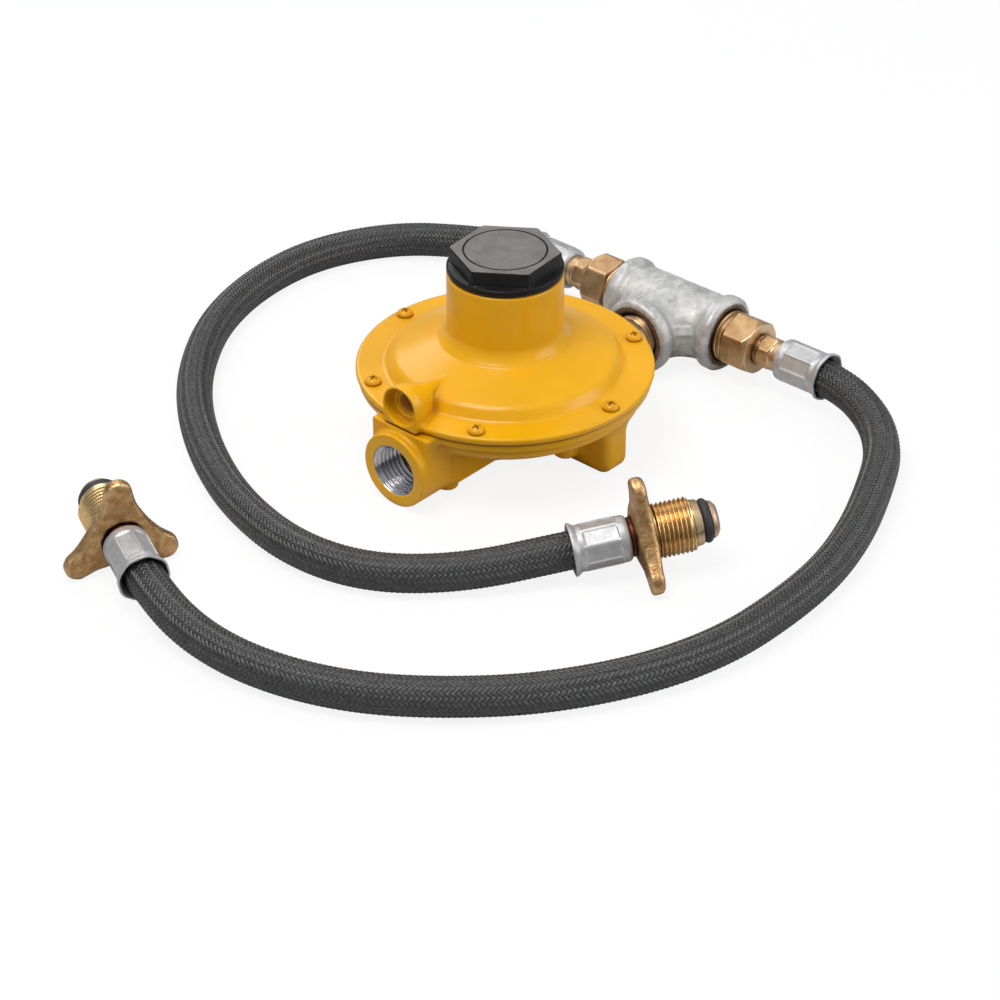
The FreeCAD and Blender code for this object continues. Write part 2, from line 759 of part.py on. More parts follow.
def build_screws():
    for index, (x, y) in enumerate(ring_places(screw_circle), start=1):
        head = lathe([
            (0, 0), (s.screw_radius, 0), (s.screw_radius, s.screw_length),
            (s.screw_head_radius, s.screw_length),
            (s.screw_head_radius, s.screw_length + s.screw_head_height * 0.5),
            (s.screw_head_radius * 0.55, s.screw_length + s.screw_head_height),
            (0, s.screw_length + s.screw_head_height),
        ])
        recess_low = s.screw_length + s.screw_head_height - s.recess_depth
        slots = [
            box(s.recess_length, s.recess_width, s.recess_depth + 1,
                (-s.recess_length / 2, -s.recess_width / 2, recess_low)),
            box(s.recess_width, s.recess_length, s.recess_depth + 1,
                (-s.recess_width / 2, -s.recess_length / 2, recess_low)),
        ]
        finish(f"flange_screw_{index}", cut(head, *slots),
               (tower_x + x, y, flange_top - s.screw_length), "z", SCREW_PHASE * index)


def orifice_front():
    """Distance from the tower's axis to the orifice's lip."""
    return holder_start() + s.holder_length + s.disc_stand_out + s.valve_gap


def holder_start():
    return s.guide_start + s.guide_length + s.gap * 3


def build_valve():
    """Orifice, disc and holder, lever with its pin, and the bracket that carries them."""
    line = (tower_x, -s.inlet_offset, inlet_height)
    start = holder_start()
    face = start + s.holder_length
    rod = lathe([
        (0, s.guide_start - s.gap * 4), (s.holder_rod_radius, s.guide_start - s.gap * 4),
        (s.holder_rod_radius, start), (s.holder_radius, start), (s.holder_radius, face),
        (s.disc_radius + s.running_clearance, face),
        (s.disc_radius + s.running_clearance, face + s.disc_stand_out - s.disc_thickness),
        (0, face + s.disc_stand_out - s.disc_thickness),
    ])
    put(rod, (0, -s.inlet_offset, inlet_height), "x")
    slot_top = s.lever_upright_top + s.gap * 2
    slot = box(s.holder_slot, s.holder_slot_width, s.holder_radius + slot_top,
               (s.pivot_reach - s.holder_slot / 2 - s.gap, -s.inlet_offset - s.holder_slot_width / 2,
                inlet_height - s.holder_radius))
    finish("disc_holder", cut(rod, slot), tower)
    disc = cylinder(s.disc_radius, s.disc_thickness)
    finish("valve_disc", disc, (tower_x + face + s.disc_stand_out - s.disc_thickness,
                                -s.inlet_offset, inlet_height), "x")

    lip = orifice_front()
    body_start = lip + s.orifice_lip_length
    body_end = body_start + s.orifice_length
    orifice = lathe([
        (s.orifice_bore, lip), (s.orifice_lip_radius, lip), (s.orifice_lip_radius, body_start),
        (s.orifice_radius, body_start), (s.orifice_radius, body_end),
        (s.orifice_head_radius, body_end), (s.orifice_head_radius, body_end + s.orifice_head),
        (s.orifice_bore, body_end + s.orifice_head),
    ])
    finish("inlet_orifice", orifice, line, "x")

    filter_start = body_end + s.orifice_head
    screen = lathe([
        (0, filter_start), (s.filter_radius, filter_start),
        (s.filter_radius, filter_start + s.filter_length),
        (s.filter_radius - s.filter_wall, filter_start + s.filter_length),
        (s.filter_radius - s.filter_wall, filter_start + s.filter_wall),
        (0, filter_start + s.filter_wall),
    ])
    finish("inlet_filter", screen, line, "x")

    pivot_height = inlet_height - s.pivot_drop
    base_left = s.pivot_reach - s.lever_base_length / 2
    upright_y = -s.inlet_offset - s.lever_arm_width / 2
    long_y = -s.lever_arm_width / 2
    base_width = s.inlet_offset + s.lever_arm_width
    base = box(s.lever_base_length, base_width, s.lever_base_height,
               (base_left, upright_y, pivot_height - s.lever_base_height / 2))
    long_arm = box(s.pivot_reach + s.lever_arm_end, s.lever_arm_width, s.lever_arm_thickness,
                   (-s.lever_arm_end, long_y, pivot_height))
    upright = box(s.lever_arm_thickness, s.lever_arm_width, s.pivot_drop + s.lever_upright_top,
                  (s.pivot_reach - s.lever_arm_thickness / 2, upright_y, pivot_height))
    eye = cylinder(s.pin_radius + s.running_clearance, base_width + 2,
                   (s.pivot_reach, upright_y - 1, pivot_height), "y")
    finish("lever", cut(fuse(base, long_arm, upright), eye), tower)

    ear_low = upright_y - s.gap - s.bracket_ear
    ear_high = upright_y + base_width + s.gap
    floor = s.well_floor
    ear_top = pivot_height + s.pin_radius * 2
    plate_left = s.guide_start
    plate_right = s.pivot_reach + s.lever_base_length / 2 + s.gap
    plate = box(plate_right - plate_left, ear_high + s.bracket_ear - ear_low, s.bracket_base,
                (plate_left, ear_low, floor))
    ears = [box(s.lever_base_length + s.gap * 2, s.bracket_ear, ear_top - floor,
                (base_left - s.gap, y, floor)) for y in (ear_low, ear_high)]
    guide = box(s.guide_length, s.guide_half_width * 2,
                inlet_height + s.holder_rod_radius + s.bracket_ear - floor,
                (s.guide_start, -s.inlet_offset - s.guide_half_width, floor))
    guide_bore = cylinder(s.holder_rod_radius + s.running_clearance, s.guide_length + 2,
                          (s.guide_start - 1, -s.inlet_offset, inlet_height), "x")
    pin_hole = cylinder(s.pin_radius + s.running_clearance, ear_high + s.bracket_ear + 2 - ear_low,
                        (s.pivot_reach, ear_low - 1, pivot_height), "y")
    finish("valve_bracket", cut(fuse(plate, guide, *ears), guide_bore, pin_hole), tower)
    pin = cylinder(s.pin_radius, ear_high + s.bracket_ear - ear_low)
    finish("lever_pin", pin, (tower_x + s.pivot_reach, ear_low, pivot_height), "y")


def build_manifold():
    """Nipple and malleable tee, on the inlet's axis."""
    start = inlet_reach - s.nipple_engagement
    end = manifold_reach - s.tee_reach + s.nipple_engagement
    outer = s.pipe_thread_radius - s.thread_clearance
    chamfer = s.thread_pitch
    nipple = lathe([
        (s.nipple_bore, start), (outer - chamfer, start), (outer, start + chamfer),
        (outer, end - chamfer), (outer - chamfer, end), (s.nipple_bore, end),
    ])
    finish("inlet_nipple", nipple, (tower_x, -s.inlet_offset, inlet_height), "x")

    barrels = []
    bores = []
    for direction in ("y", "-y", "-x"):
        barrel = lathe([
            (0, 0), (s.tee_radius, 0), (s.tee_radius, s.tee_reach - s.bead_width - s.bead_round),
            (s.bead_radius, s.tee_reach - s.bead_width), (s.bead_radius, s.tee_reach - s.bead_round),
            (s.bead_radius - s.bead_round, s.tee_reach), (0, s.tee_reach),
        ])
        thread_floor = s.tee_reach - s.tee_thread_length
        bore = lathe([
            (0, 0), (s.tee_passage, 0), (s.tee_passage, thread_floor),
            (s.pipe_thread_radius, thread_floor),
            (s.pipe_thread_radius, s.tee_reach - s.tee_mouth_depth),
            (s.tee_mouth_radius, s.tee_reach), (s.tee_mouth_radius, s.tee_reach + 1),
            (0, s.tee_reach + 1),
        ])
        barrels.append(put(barrel, (0, 0, 0), direction))
        bores.append(put(bore, (0, 0, 0), direction))
    finish("tee", cut(fuse(*barrels), *bores), (tower_x + manifold_reach, -s.inlet_offset,
                                                inlet_height))


def build_hose_end(side, direction, turn):
    """Reducing bush, hose tail and ferrule on one end of the tee."""
    place = (tower_x + manifold_reach, -s.inlet_offset, inlet_height)
    face = s.tee_reach
    collar_end = face + s.bush_collar
    hex_end = collar_end + s.bush_hex
    thread = s.pipe_thread_radius - s.thread_clearance
    plug_radius = s.tail_thread_radius + s.running_clearance
    shank = lathe([
        (s.bush_bore, face - s.bush_engagement), (thread, face - s.bush_engagement),
        (thread, face), (s.bush_collar_radius, face), (s.bush_collar_radius, collar_end + 1),
        (s.bush_bore, collar_end + 1),
    ])
    hexagon = chamfered_hexagon(s.bush_hex_flats, collar_end, hex_end, s.bush_chamfer)
    socket = cylinder(plug_radius, s.tail_thread_length + 1, (0, 0, hex_end - s.tail_thread_length))
    through = cylinder(s.bush_bore, s.bush_collar + s.bush_hex + s.bush_engagement,
                       (0, 0, face - s.bush_engagement))
    finish(f"reducing_bush_{side}", cut(fuse(shank, hexagon), socket, through), place,
           direction, turn)

    neck_end = hex_end + s.tail_neck
    tail_hex_end = neck_end + s.tail_hex
    shank_end = tail_hex_end + s.tail_shank + s.ferrule_end_wall
    barb_radius = s.hose_bore - s.running_clearance
    plug_start = hex_end - s.tail_thread_length + s.gap
    spindle = lathe([
        (s.tail_bore, plug_start), (s.tail_thread_radius, plug_start),
        (s.tail_thread_radius, hex_end), (s.tail_neck_radius, hex_end),
        (s.tail_neck_radius, tail_hex_end), (s.tail_shank_radius, tail_hex_end),
        (s.tail_shank_radius, shank_end), (barb_radius, shank_end),
        (barb_radius, shank_end + s.barb_length), (s.tail_bore, shank_end + s.barb_length),
    ])
    tail_hexagon = cut(chamfered_hexagon(s.tail_hex_flats, neck_end, tail_hex_end,
                                         s.bush_chamfer / 2),
                       cylinder(s.tail_neck_radius - s.gap, s.tail_hex + 2, (0, 0, neck_end - 1)))
    finish(f"hose_tail_{side}", fuse(spindle, tail_hexagon), place, direction, turn)

    ferrule_start = tail_hex_end + s.tail_shank
    ferrule = build_ferrule()
    axis = ALONG[direction].multVec(Vector(0, 0, 1))
    at = tuple(size(base) + ferrule_start * part for base, part in zip(place, axis))
    finish(f"tee_ferrule_{side}", ferrule, at, direction)
    return Placement(Vector(*[value.number for value in at]), ALONG[direction])


def build_ferrule():
    """Crimped ferrule from its closed end at height 0 to its flared mouth."""
    body_end = s.ferrule_length - s.ferrule_flare_length
    bore = s.hose_radius + s.running_clearance
    hole = s.tail_shank_radius + s.running_clearance
    tube = lathe([
        (hole, 0), (s.ferrule_radius - s.ferrule_rim, 0), (s.ferrule_radius, s.ferrule_rim),
        (s.ferrule_radius, body_end), (s.ferrule_mouth_radius, s.ferrule_length),
        (s.ferrule_mouth_radius - s.ferrule_rim, s.ferrule_length), (bore, body_end),
        (bore, s.ferrule_end_wall), (hole, s.ferrule_end_wall),
    ])
    flat_length = body_end - s.ferrule_flat_start
    zone = cylinder(s.ferrule_mouth_radius, flat_length, (0, 0, s.ferrule_flat_start))
    core = prism(FERRULE_FLAT_COUNT, s.ferrule_flat_reach * 2, flat_length, (0, 0, s.ferrule_flat_start))
    return cut(tube, cut(zone, core))


def connector_place(letter):
    """Placement of a bottle connector: its nose tip, with +Z running towards the hose.

    The wheel rests on the floor on two wings, with the third straight up.
    """
    turn = math.radians(getattr(s, f"connector_{letter}_turn").number)
    rise = math.radians(getattr(s, f"connector_{letter}_rise").number)
    towards_nose = Vector(math.cos(rise) * math.cos(turn), math.cos(rise) * math.sin(turn),
                          math.sin(rise))
    side = Vector(-math.sin(turn), math.cos(turn), 0)
    rotation = Rotation(side.cross(towards_nose), side, towards_nose * -1, "ZYX")
    tip = s.wing_tip_radius.number
    wing = (s.wheel_radius.number - tip) / 2 + tip
    half = s.wheel_thickness.number / 2
    height = wing * math.cos(rise) + half * math.sin(rise) + s.running_clearance.number
    middle = s.wheel_start.number + half
    wheel_front = s.head_end.number + s.axial_play.number + s.bottle_thread_length.number
    front_x = getattr(s, f"connector_{letter}_x").number
    front_y = getattr(s, f"connector_{letter}_y").number
    front = Vector(front_x, front_y, height + (middle - wheel_front) * math.sin(rise))
    return Placement(front + towards_nose * wheel_front, rotation)


def set_placement(label, item, place):
    item.Label = label
    item.Placement = place
    nodes[label] = item


def build_connector(letter):
    """Nose piece, its rubber ring, the threaded hand wheel and the ferrule of one bottle end."""
    place = connector_place(letter)
    groove_end = s.nose_length + s.ring_wire * 2 + s.running_clearance * 2
    groove = s.ring_radius - s.ring_wire
    wall_end = s.collar_end + s.ferrule_end_wall
    barb_radius = s.hose_bore - s.running_clearance
    hub_end = s.wheel_start + s.wheel_thickness + s.hub_back
    nose = lathe([
        (s.tail_bore, 0), (s.nose_tip_radius, 0), (s.nose_radius, s.nose_length),
        (groove, s.nose_length), (groove, groove_end), (s.head_front_radius, groove_end),
        (s.head_back_radius, s.head_end), (s.stem_radius, s.head_end),
        (s.stem_radius, hub_end + s.axial_play), (s.collar_radius, hub_end + s.axial_play),
        (s.collar_radius, s.collar_end), (s.tail_shank_radius, s.collar_end),
        (s.tail_shank_radius, wall_end), (barb_radius, wall_end),
        (barb_radius, wall_end + s.barb_length), (s.tail_bore, wall_end + s.barb_length),
    ])
    set_placement(f"nose_piece_{letter}", nose, place)
    ring = torus(s.ring_radius, s.ring_wire)
    ring_height = (s.nose_length + groove_end).number / 2
    set_placement(f"nose_ring_{letter}", ring,
                  Placement(place.multVec(Vector(0, 0, ring_height)), place.Rotation))

    start = s.head_end + s.axial_play
    bore = s.stem_radius + s.running_clearance
    crests = thread_points(s.bottle_thread_radius, start, s.bottle_thread_length, -thread_depth)
    root = s.bottle_thread_radius - thread_depth
    hub = lathe(
        [(bore, start)] + crests
        + [(root, s.wheel_start), (s.wheel_hub_radius, s.wheel_start),
           (s.wheel_hub_radius, s.wheel_start + s.wheel_thickness),
           (s.hub_back_radius, hub_end), (bore, hub_end)])
    reach = s.wheel_radius - s.wing_tip_radius
    wings = []
    for index in range(WING_COUNT):
        angle = 360 * index / WING_COUNT
        wings.append(plate_outline(
            [(bore + 1, -s.wing_root_half), (reach, -s.wing_tip_radius),
             (reach, s.wing_tip_radius), (bore + 1, s.wing_root_half)],
            s.wheel_thickness, (0, 0, s.wheel_start), "z", angle))
        across = math.radians(angle)
        wings.append(cylinder(s.wing_tip_radius, s.wheel_thickness,
                              (reach * math.cos(across), reach * math.sin(across),
                               s.wheel_start)))
    clear_bore = cylinder(bore, s.wheel_thickness + 2, (0, 0, s.wheel_start - 1))
    set_placement(f"handwheel_{letter}", cut(fuse(hub, *wings), clear_bore), place)

    ferrule_place = Placement(place.multVec(Vector(0, 0, s.collar_end.number)), place.Rotation)
    set_placement(f"bottle_ferrule_{letter}", build_ferrule(), ferrule_place)
    return ferrule_place


def bend(start, corner, end):
    """The arc from start to end whose end tangents meet at the corner."""
    middle = (start + end) * 0.5
    half_chord = (end - start).Length / 2
    leg = (corner - start).Length
    rise = (corner - middle).Length
    radius = leg * half_chord / rise
    bulge = radius - math.sqrt(radius * radius - half_chord * half_chord)
    return Part.Arc(start, middle + (corner - middle) * (bulge / rise), end).toShape(), radius


def tube_path(points):
    """Straight runs joined by tangent arcs as large as their two runs allow."""
    edges = []
    radii = []
    here = points[0]
    for before, corner, after in zip(points, points[1:], points[2:]):
        reach = ARC_SHARE * min((corner - before).Length, (after - corner).Length)
        start = corner + (before - corner).normalize() * reach
        end = corner + (after - corner).normalize() * reach
        arc, radius = bend(start, corner, end)
        edges += [Part.LineSegment(here, start).toShape(), arc]
        radii.append(radius)
        here = end
    edges.append(Part.LineSegment(here, points[-1]).toShape())
    return Part.Wire(edges), radii


def build_hose(letter, first, middle_points, last):
    """Braided hose between two ferrules: an outer tube with its bore cut through."""
    wall = s.ferrule_end_wall.number
    begin = first.multVec(Vector(0, 0, wall))
    finish_at = last.multVec(Vector(0, 0, wall))
    lead = first.multVec(Vector(0, 0, wall + HOSE_LEAD))
    trail = last.multVec(Vector(0, 0, wall + HOSE_LEAD * 0.95))
    points = [begin, lead] + [Vector(*point) for point in middle_points] + [trail, finish_at]
    path, radii = tube_path(points)
    outer_radius = s.hose_radius.number
    inner_radius = s.hose_bore.number
    direction = lead - begin
    solids = []
    for radius in (outer_radius, inner_radius):
        profile = Part.Wire(Part.makeCircle(radius, begin, direction))
        tube = path.makePipeShell([profile], True, False)
        section = math.pi * radius * radius
        print(f"hose_{letter} radius {radius}: volume {tube.Volume:.0f},"
              f" section x length {section * path.Length:.0f}")
        solids.append(tube)
    print(f"hose_{letter} length {path.Length:.1f}, bend radii",
          [round(radius) for radius in radii])
    hose = doc.addObject("Part::Feature", f"Hose_{letter}")
    hose.Shape = solids[0].cut(solids[1])
    set_placement(f"hose_{letter}", hose, Placement())


def coil(label, radius, wire, low, high, turns):
    """A coil spring: a round wire swept along biarcs of a quarter turn each."""
    ring = radius.number
    thick = wire.number
    bottom = low.number + thick
    climb = (high.number - low.number - 2 * thick) / turns
    steps = turns * 4
    slope = math.atan2(climb, 2 * math.pi * ring)
    spots = []
    for step in range(steps + 1):
        angle = step * math.pi / 2
        spot = Vector(ring * math.cos(angle), ring * math.sin(angle), bottom + climb * step / 4)
        heading = Vector(-math.sin(angle) * math.cos(slope), math.cos(angle) * math.cos(slope),
                         math.sin(slope))
        spots.append((spot, heading))
    edges = []
    for (start, leaving), (end, arriving) in zip(spots, spots[1:]):
        chord = end - start
        both = leaving + arriving
        spread = 2 * (1 - leaving.dot(arriving))
        along = chord.dot(both)
        reach = (math.sqrt(along * along + spread * chord.dot(chord)) - along) / spread
        near = start + leaving * reach
        far = end - arriving * reach
        joint = (near + far) * 0.5
        edges += [bend(start, near, joint)[0], bend(joint, far, end)[0]]
    path = Part.Wire(edges)
    profile = Part.Wire(Part.makeCircle(thick, spots[0][0], spots[0][1]))
    spring = doc.addObject("Part::Feature", label)
    spring.Shape = path.makePipeShell([profile], True, False)
    print(f"{label}: gap between turns {climb - 2 * thick:.2f},"
          f" volume {spring.Shape.Volume:.0f},"
          f" section x length {math.pi * thick * thick * path.Length:.0f}")
    set_placement(label, spring, Placement(Vector(tower_x.number, 0, 0), Rotation()))


def check_document():
    """Every object recomputed cleanly and every piece a valid solid."""
    for item in doc.Objects:
        bad = [state for state in item.State if state in ("Invalid", "Error")]
        if bad:
            raise RuntimeError(f"{item.Name} ({item.Label}) is {bad}")
    for label, item in nodes.items():
        shape = item.Shape
        if shape.isNull() or not shape.isValid() or not shape.Solids:
            raise RuntimeError(f"{label} has no valid solid")


def build_all():
    build_casing()
    build_bonnet()
    build_diaphragm()
    build_adjuster()
    build_screws()
    build_valve()
    build_manifold()
    tee_end_a = build_hose_end("a", "y", TEE_TURN_A)
    tee_end_b = build_hose_end("b", "-y", TEE_TURN_B)
    bottle_end_a = build_connector("a")
    bottle_end_b = build_connector("b")
    build_hose("a", tee_end_a, HOSE_A_POINTS, bottle_end_a)
    build_hose("b", tee_end_b, HOSE_B_POINTS, bottle_end_b)


build_all()
doc.recompute()
check_document()
os.makedirs("parts", exist_ok=True)
for label, item in nodes.items():
    item.Shape.exportStep(f"parts/{label}.step")
    edges = item.Shape.BoundBox
    print(f"{label:18s} solids {len(item.Shape.Solids)} volume {item.Shape.Volume:10.1f}"
          f" x {edges.XMin:7.2f} {edges.XMax:7.2f} y {edges.YMin:7.2f} {edges.YMax:7.2f}"
          f" z {edges.ZMin:6.2f} {edges.ZMax:6.2f}")
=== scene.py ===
import math

import bpy
import numpy as np
from mathutils import Matrix, Vector
from numpy import hypot, maximum, minimum


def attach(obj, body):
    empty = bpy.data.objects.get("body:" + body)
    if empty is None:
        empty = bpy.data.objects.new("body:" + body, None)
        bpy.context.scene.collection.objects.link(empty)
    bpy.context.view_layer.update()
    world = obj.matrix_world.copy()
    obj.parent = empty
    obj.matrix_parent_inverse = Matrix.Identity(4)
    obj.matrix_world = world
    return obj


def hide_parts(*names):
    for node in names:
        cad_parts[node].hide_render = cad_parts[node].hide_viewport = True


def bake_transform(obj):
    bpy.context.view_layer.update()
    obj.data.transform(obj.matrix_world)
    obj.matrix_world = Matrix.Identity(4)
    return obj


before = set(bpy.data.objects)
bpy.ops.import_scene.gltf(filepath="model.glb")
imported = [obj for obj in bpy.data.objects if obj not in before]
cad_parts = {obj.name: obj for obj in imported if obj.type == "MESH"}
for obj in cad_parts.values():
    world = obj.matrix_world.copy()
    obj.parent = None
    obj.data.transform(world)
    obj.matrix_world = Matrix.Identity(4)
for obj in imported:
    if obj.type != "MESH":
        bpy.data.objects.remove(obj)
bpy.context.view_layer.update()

# Lengths are millimetres in the row frame; the camera, the lamps and the floor are placed in metres.
MM = 0.001
TURN = 2 * math.pi
UP = (0.0, 0.0, 1.0)
TOWER_X = -28.35
TOWER = (TOWER_X, 0, 0)
INLET_Y, INLET_HEIGHT = -5.6, 17.0
TEE = (80.05, INLET_Y, INLET_HEIGHT)
TEE_REACH = 28.5
CAST_PAD = (-16.1, -16.36, 3.58)  # seen from the tee's middle
OUTLET_HEIGHT = 16.4
OUTLET_FACE = -68.7  # like the other lengths along X in the castings, from the tower
VENT_HEIGHT = 44.7
BONNET_BASE, FLANGE_TOP = 35.4, 38.4
SCREW_CIRCLE = 57.5
SCREW_TURNS = [math.radians(30 + 60 * index) for index in range(6)]
PIPE_THREAD_RADIUS = 10.57


# ---- camera, floor and light

def add_object(name, data):
    made = bpy.data.objects.new(name, data)
    bpy.context.scene.collection.objects.link(made)
    return made


def set_camera():
    data = bpy.data.cameras.new("Camera")
    data.sensor_width = 36.0
    data.lens = 102.61
    data.clip_start = 0.01
    data.clip_end = 50
    camera = add_object("Camera", data)
    right = Vector((0.6652, -0.7466, 0.0)).normalized()
    back = Vector((-0.6226, -0.5548, 0.5518)).normalized()
    up = back.cross(right).normalized()
    camera.matrix_world = Matrix.Translation((-0.79645, -0.6815, 0.6477)) @ Matrix(
        (right, up, back)).transposed().to_4x4()
    bpy.context.scene.camera = camera


def area_light(name, at, width, power, colour=(1, 1, 1)):
    """A square lamp that looks at the middle of the part."""
    data = bpy.data.lights.new(name, "AREA")
    data.shape = "SQUARE"
    data.size = width
    data.energy = power
    data.color = colour
    lamp = add_object(name, data)
    lamp.location = at
    lamp.rotation_mode = "QUATERNION"
    lamp.rotation_quaternion = (Vector((0, 0, 0.02)) - Vector(at)).to_track_quat("-Z", "Y")


def set_world():
    """Soft light for matt surfaces, a dark-to-white ramp in reflections, white for the camera."""
    shade = Shade("World", world=True)
    path = shade.node("LightPath")
    split = shade.node("SeparateXYZ", {0: shade.node("TexCoord").outputs["Generated"]})
    ramp = shade.node("ValToRGB", {0: split.outputs["Z"]})
    for stop, position, colour in zip(ramp.color_ramp.elements, (0.05, 0.8), ((0.30, 0.31, 0.33, 1), (1, 1, 1, 1))):
        stop.position = position
        stop.color = colour
    shown, reflected, white = [
        shade.node("Background", {"Color": colour, "Strength": strength}).outputs[0]
        for colour, strength in (((0.93, 0.96, 1.0), 0.40), (ramp.outputs["Color"], 0.62), ((1, 1, 1), 1.04))]
    for ray, layer in (("Is Glossy Ray", reflected), ("Is Camera Ray", white), ("Is Transmission Ray", white)):
        shown = shade.layer(path.outputs[ray], shown, layer)
    bpy.context.scene.world = shade.finish(shown)


def set_floor():
    """A white floor that still shows the shadow."""
    mesh = bpy.data.meshes.new("floor")
    reach = 6.0
    mesh.from_pydata([(-reach, -reach, 0), (reach, -reach, 0), (reach, reach, 0), (-reach, reach, 0)],
                     [], [(0, 1, 2, 3)])
    shade = Shade("floor_white")
    matt = shade.node("BsdfDiffuse", {"Color": (0.62, 0.62, 0.62)}).outputs[0]
    glow = shade.node("Emission", {"Strength": 1.09}).outputs[0]
    path = shade.node("LightPath").outputs
    seen = shade.math("MAXIMUM", path["Is Camera Ray"], path["Is Transmission Ray"])
    mesh.materials.append(shade.finish(shade.layer(shade.times(seen, 0.80), matt, glow)))
    add_object("floor", mesh)


def set_stage():
    set_world()
    set_floor()
    area_light("Key", (-0.38, 0.02, 1.05), 0.55, 7.6, (1.0, 0.985, 0.96))
    area_light("Fill", (0.55, -0.95, 0.5), 0.7, 4.6, (0.98, 0.985, 1.0))
    area_light("Back", (0.35, 0.95, 0.8), 0.6, 3.4)
    bpy.context.scene.view_settings.view_transform = "Standard"


# ---- node materials

class Shade:
    """The nodes of a material or of the world, and short calls for them."""

    def __init__(self, name, world=False):
        self.holder = (bpy.data.worlds if world else bpy.data.materials).new(name)
        self.holder.use_nodes = True
        self.tree = self.holder.node_tree
        self.tree.nodes.clear()
        self.output = self.node("OutputWorld" if world else "OutputMaterial")
        self.place = self.node("TexCoord").outputs["Object"]

    def node(self, kind, inputs=None, **settings):
        """A new node; its inputs, by name or number, get a value or the socket of another node."""
        made = self.tree.nodes.new("ShaderNode" + kind)
        for key, value in settings.items():
            setattr(made, key, value)
        for key, value in (inputs or {}).items():
            socket = made.inputs[key]
            if isinstance(value, bpy.types.NodeSocket):
                self.tree.links.new(value, socket)
            else:
                socket.default_value = (*value, 1) if socket.type == "RGBA" else value
        return made

    def finish(self, shader):
        self.tree.links.new(shader, self.output.inputs["Surface"])
        return self.holder

    def surface(self, **sockets):
        inputs = {key.replace("_", " "): value for key, value in sockets.items()}
        return self.finish(self.node("BsdfPrincipled", inputs).outputs[0])

    def layer(self, share, under, over):
        return self.node("MixShader", {0: share, 1: under, 2: over}).outputs[0]

    def noise(self, scale, detail, rough, distort=0.0):
        return self.node("TexNoise", {"Vector": self.place, "Scale": scale, "Detail": detail, "Roughness": rough,
                                      "Distortion": distort}).outputs["Fac"]

    def cells(self, scale, output):
        return self.node("TexVoronoi", {"Vector": self.place, "Scale": scale}).outputs[output]

    def math(self, operation, a, b=0.0):
        return self.node("Math", {0: a, 1: b}, operation=operation).outputs[0]

    def times(self, a, b):
        return self.math("MULTIPLY", a, b)

    def plus(self, a, b):
        return self.math("ADD", a, b)

    def minus(self, a, b):
        return self.math("SUBTRACT", a, b)

    def spread(self, value, low, high, out_low=0.0, out_high=1.0):
        return self.node("MapRange", {"Value": value, "From Min": low, "From Max": high, "To Min": out_low,
                                      "To Max": out_high}, interpolation_type="SMOOTHSTEP").outputs["Result"]

    def mix(self, share, a, b):
        return self.node("Mix", {"Factor": share, 6: a, 7: b}, data_type="RGBA").outputs[2]

    def edges(self, low, high):
        """How convex the surface is, from 0 to 1."""
        return self.spread(self.node("NewGeometry").outputs["Pointiness"], low, high)

    def hollows(self, distance_mm):
        """Near 0 deep in a corner, 1 in the open; the materials darken their colour by it as painted shade."""
        return self.node("AmbientOcclusion", {"Distance": distance_mm * MM}, samples=6).outputs["AO"]

    def bump(self, height, depth_mm, strength):
        return self.node("Bump", {"Height": height, "Distance": depth_mm * MM, "Strength": strength}).outputs[0]


def paint(name, colour, deep):
    shade = Shade(name)
    bright = tuple(min(1, c * 1.06 + 0.004) for c in colour)
    drift = shade.spread(shade.noise(38, 3, 0.6), 0.35, 0.7)
    # Painted shade: the colour turns to the deep colour in corners and crevices, by ambient occlusion.
    open_air = shade.spread(shade.hollows(5.0), 0.25, 0.95)
    grain = shade.noise(2600, 2, 0.6)
    height = shade.plus(shade.noise(620, 3, 0.55), shade.times(grain, 0.25))
    return shade.surface(Base_Color=shade.mix(open_air, deep, shade.mix(drift, colour, bright)),
                         Roughness=shade.spread(grain, 0.3, 0.7, 0.27, 0.38), IOR=1.40, Coat_Weight=0.22,
                         Coat_Roughness=0.16, Specular_IOR_Level=0.36, Normal=shade.bump(height, 0.035, 0.5))


def metal(name, colour, second, rough, patch, grain, depth, wear_and_highlight=None, metallic=1.0, pits=0.0, shadow=0.35):
    """Patches of two colours, lighter on convex edges (wear, and a painted highlight on bare zinc), with painted shade
    in corners.
    """
    shade = Shade(name)
    base = shade.mix(shade.spread(shade.noise(patch, 5, 0.6), 0.34, 0.66), colour, second)
    # Lighter colour on convex edges: rubbed wear on the brass, a painted highlight on the crests of the bare zinc
    # thread.
    if wear_and_highlight:
        base = shade.mix(shade.times(shade.edges(0.505, 0.56), 0.8), base, wear_and_highlight)
    # Painted shade: darker in corners, towards the second colour times shadow, by ambient occlusion.
    open_air = shade.spread(shade.hollows(3.0), 0.2, 0.9)
    base = shade.mix(open_air, tuple(c * shadow for c in second), base)
    fine = shade.noise(grain, 4, 0.65)
    height = fine
    if pits:
        holes = shade.spread(shade.cells(grain * 0.55, "Distance"), 0.0, 0.45)
        height = shade.plus(fine, shade.times(holes, pits))
    return shade.surface(Base_Color=base, Metallic=metallic, Roughness=shade.spread(fine, 0.3, 0.7, *rough),
                         Normal=shade.bump(height, depth, 0.8))


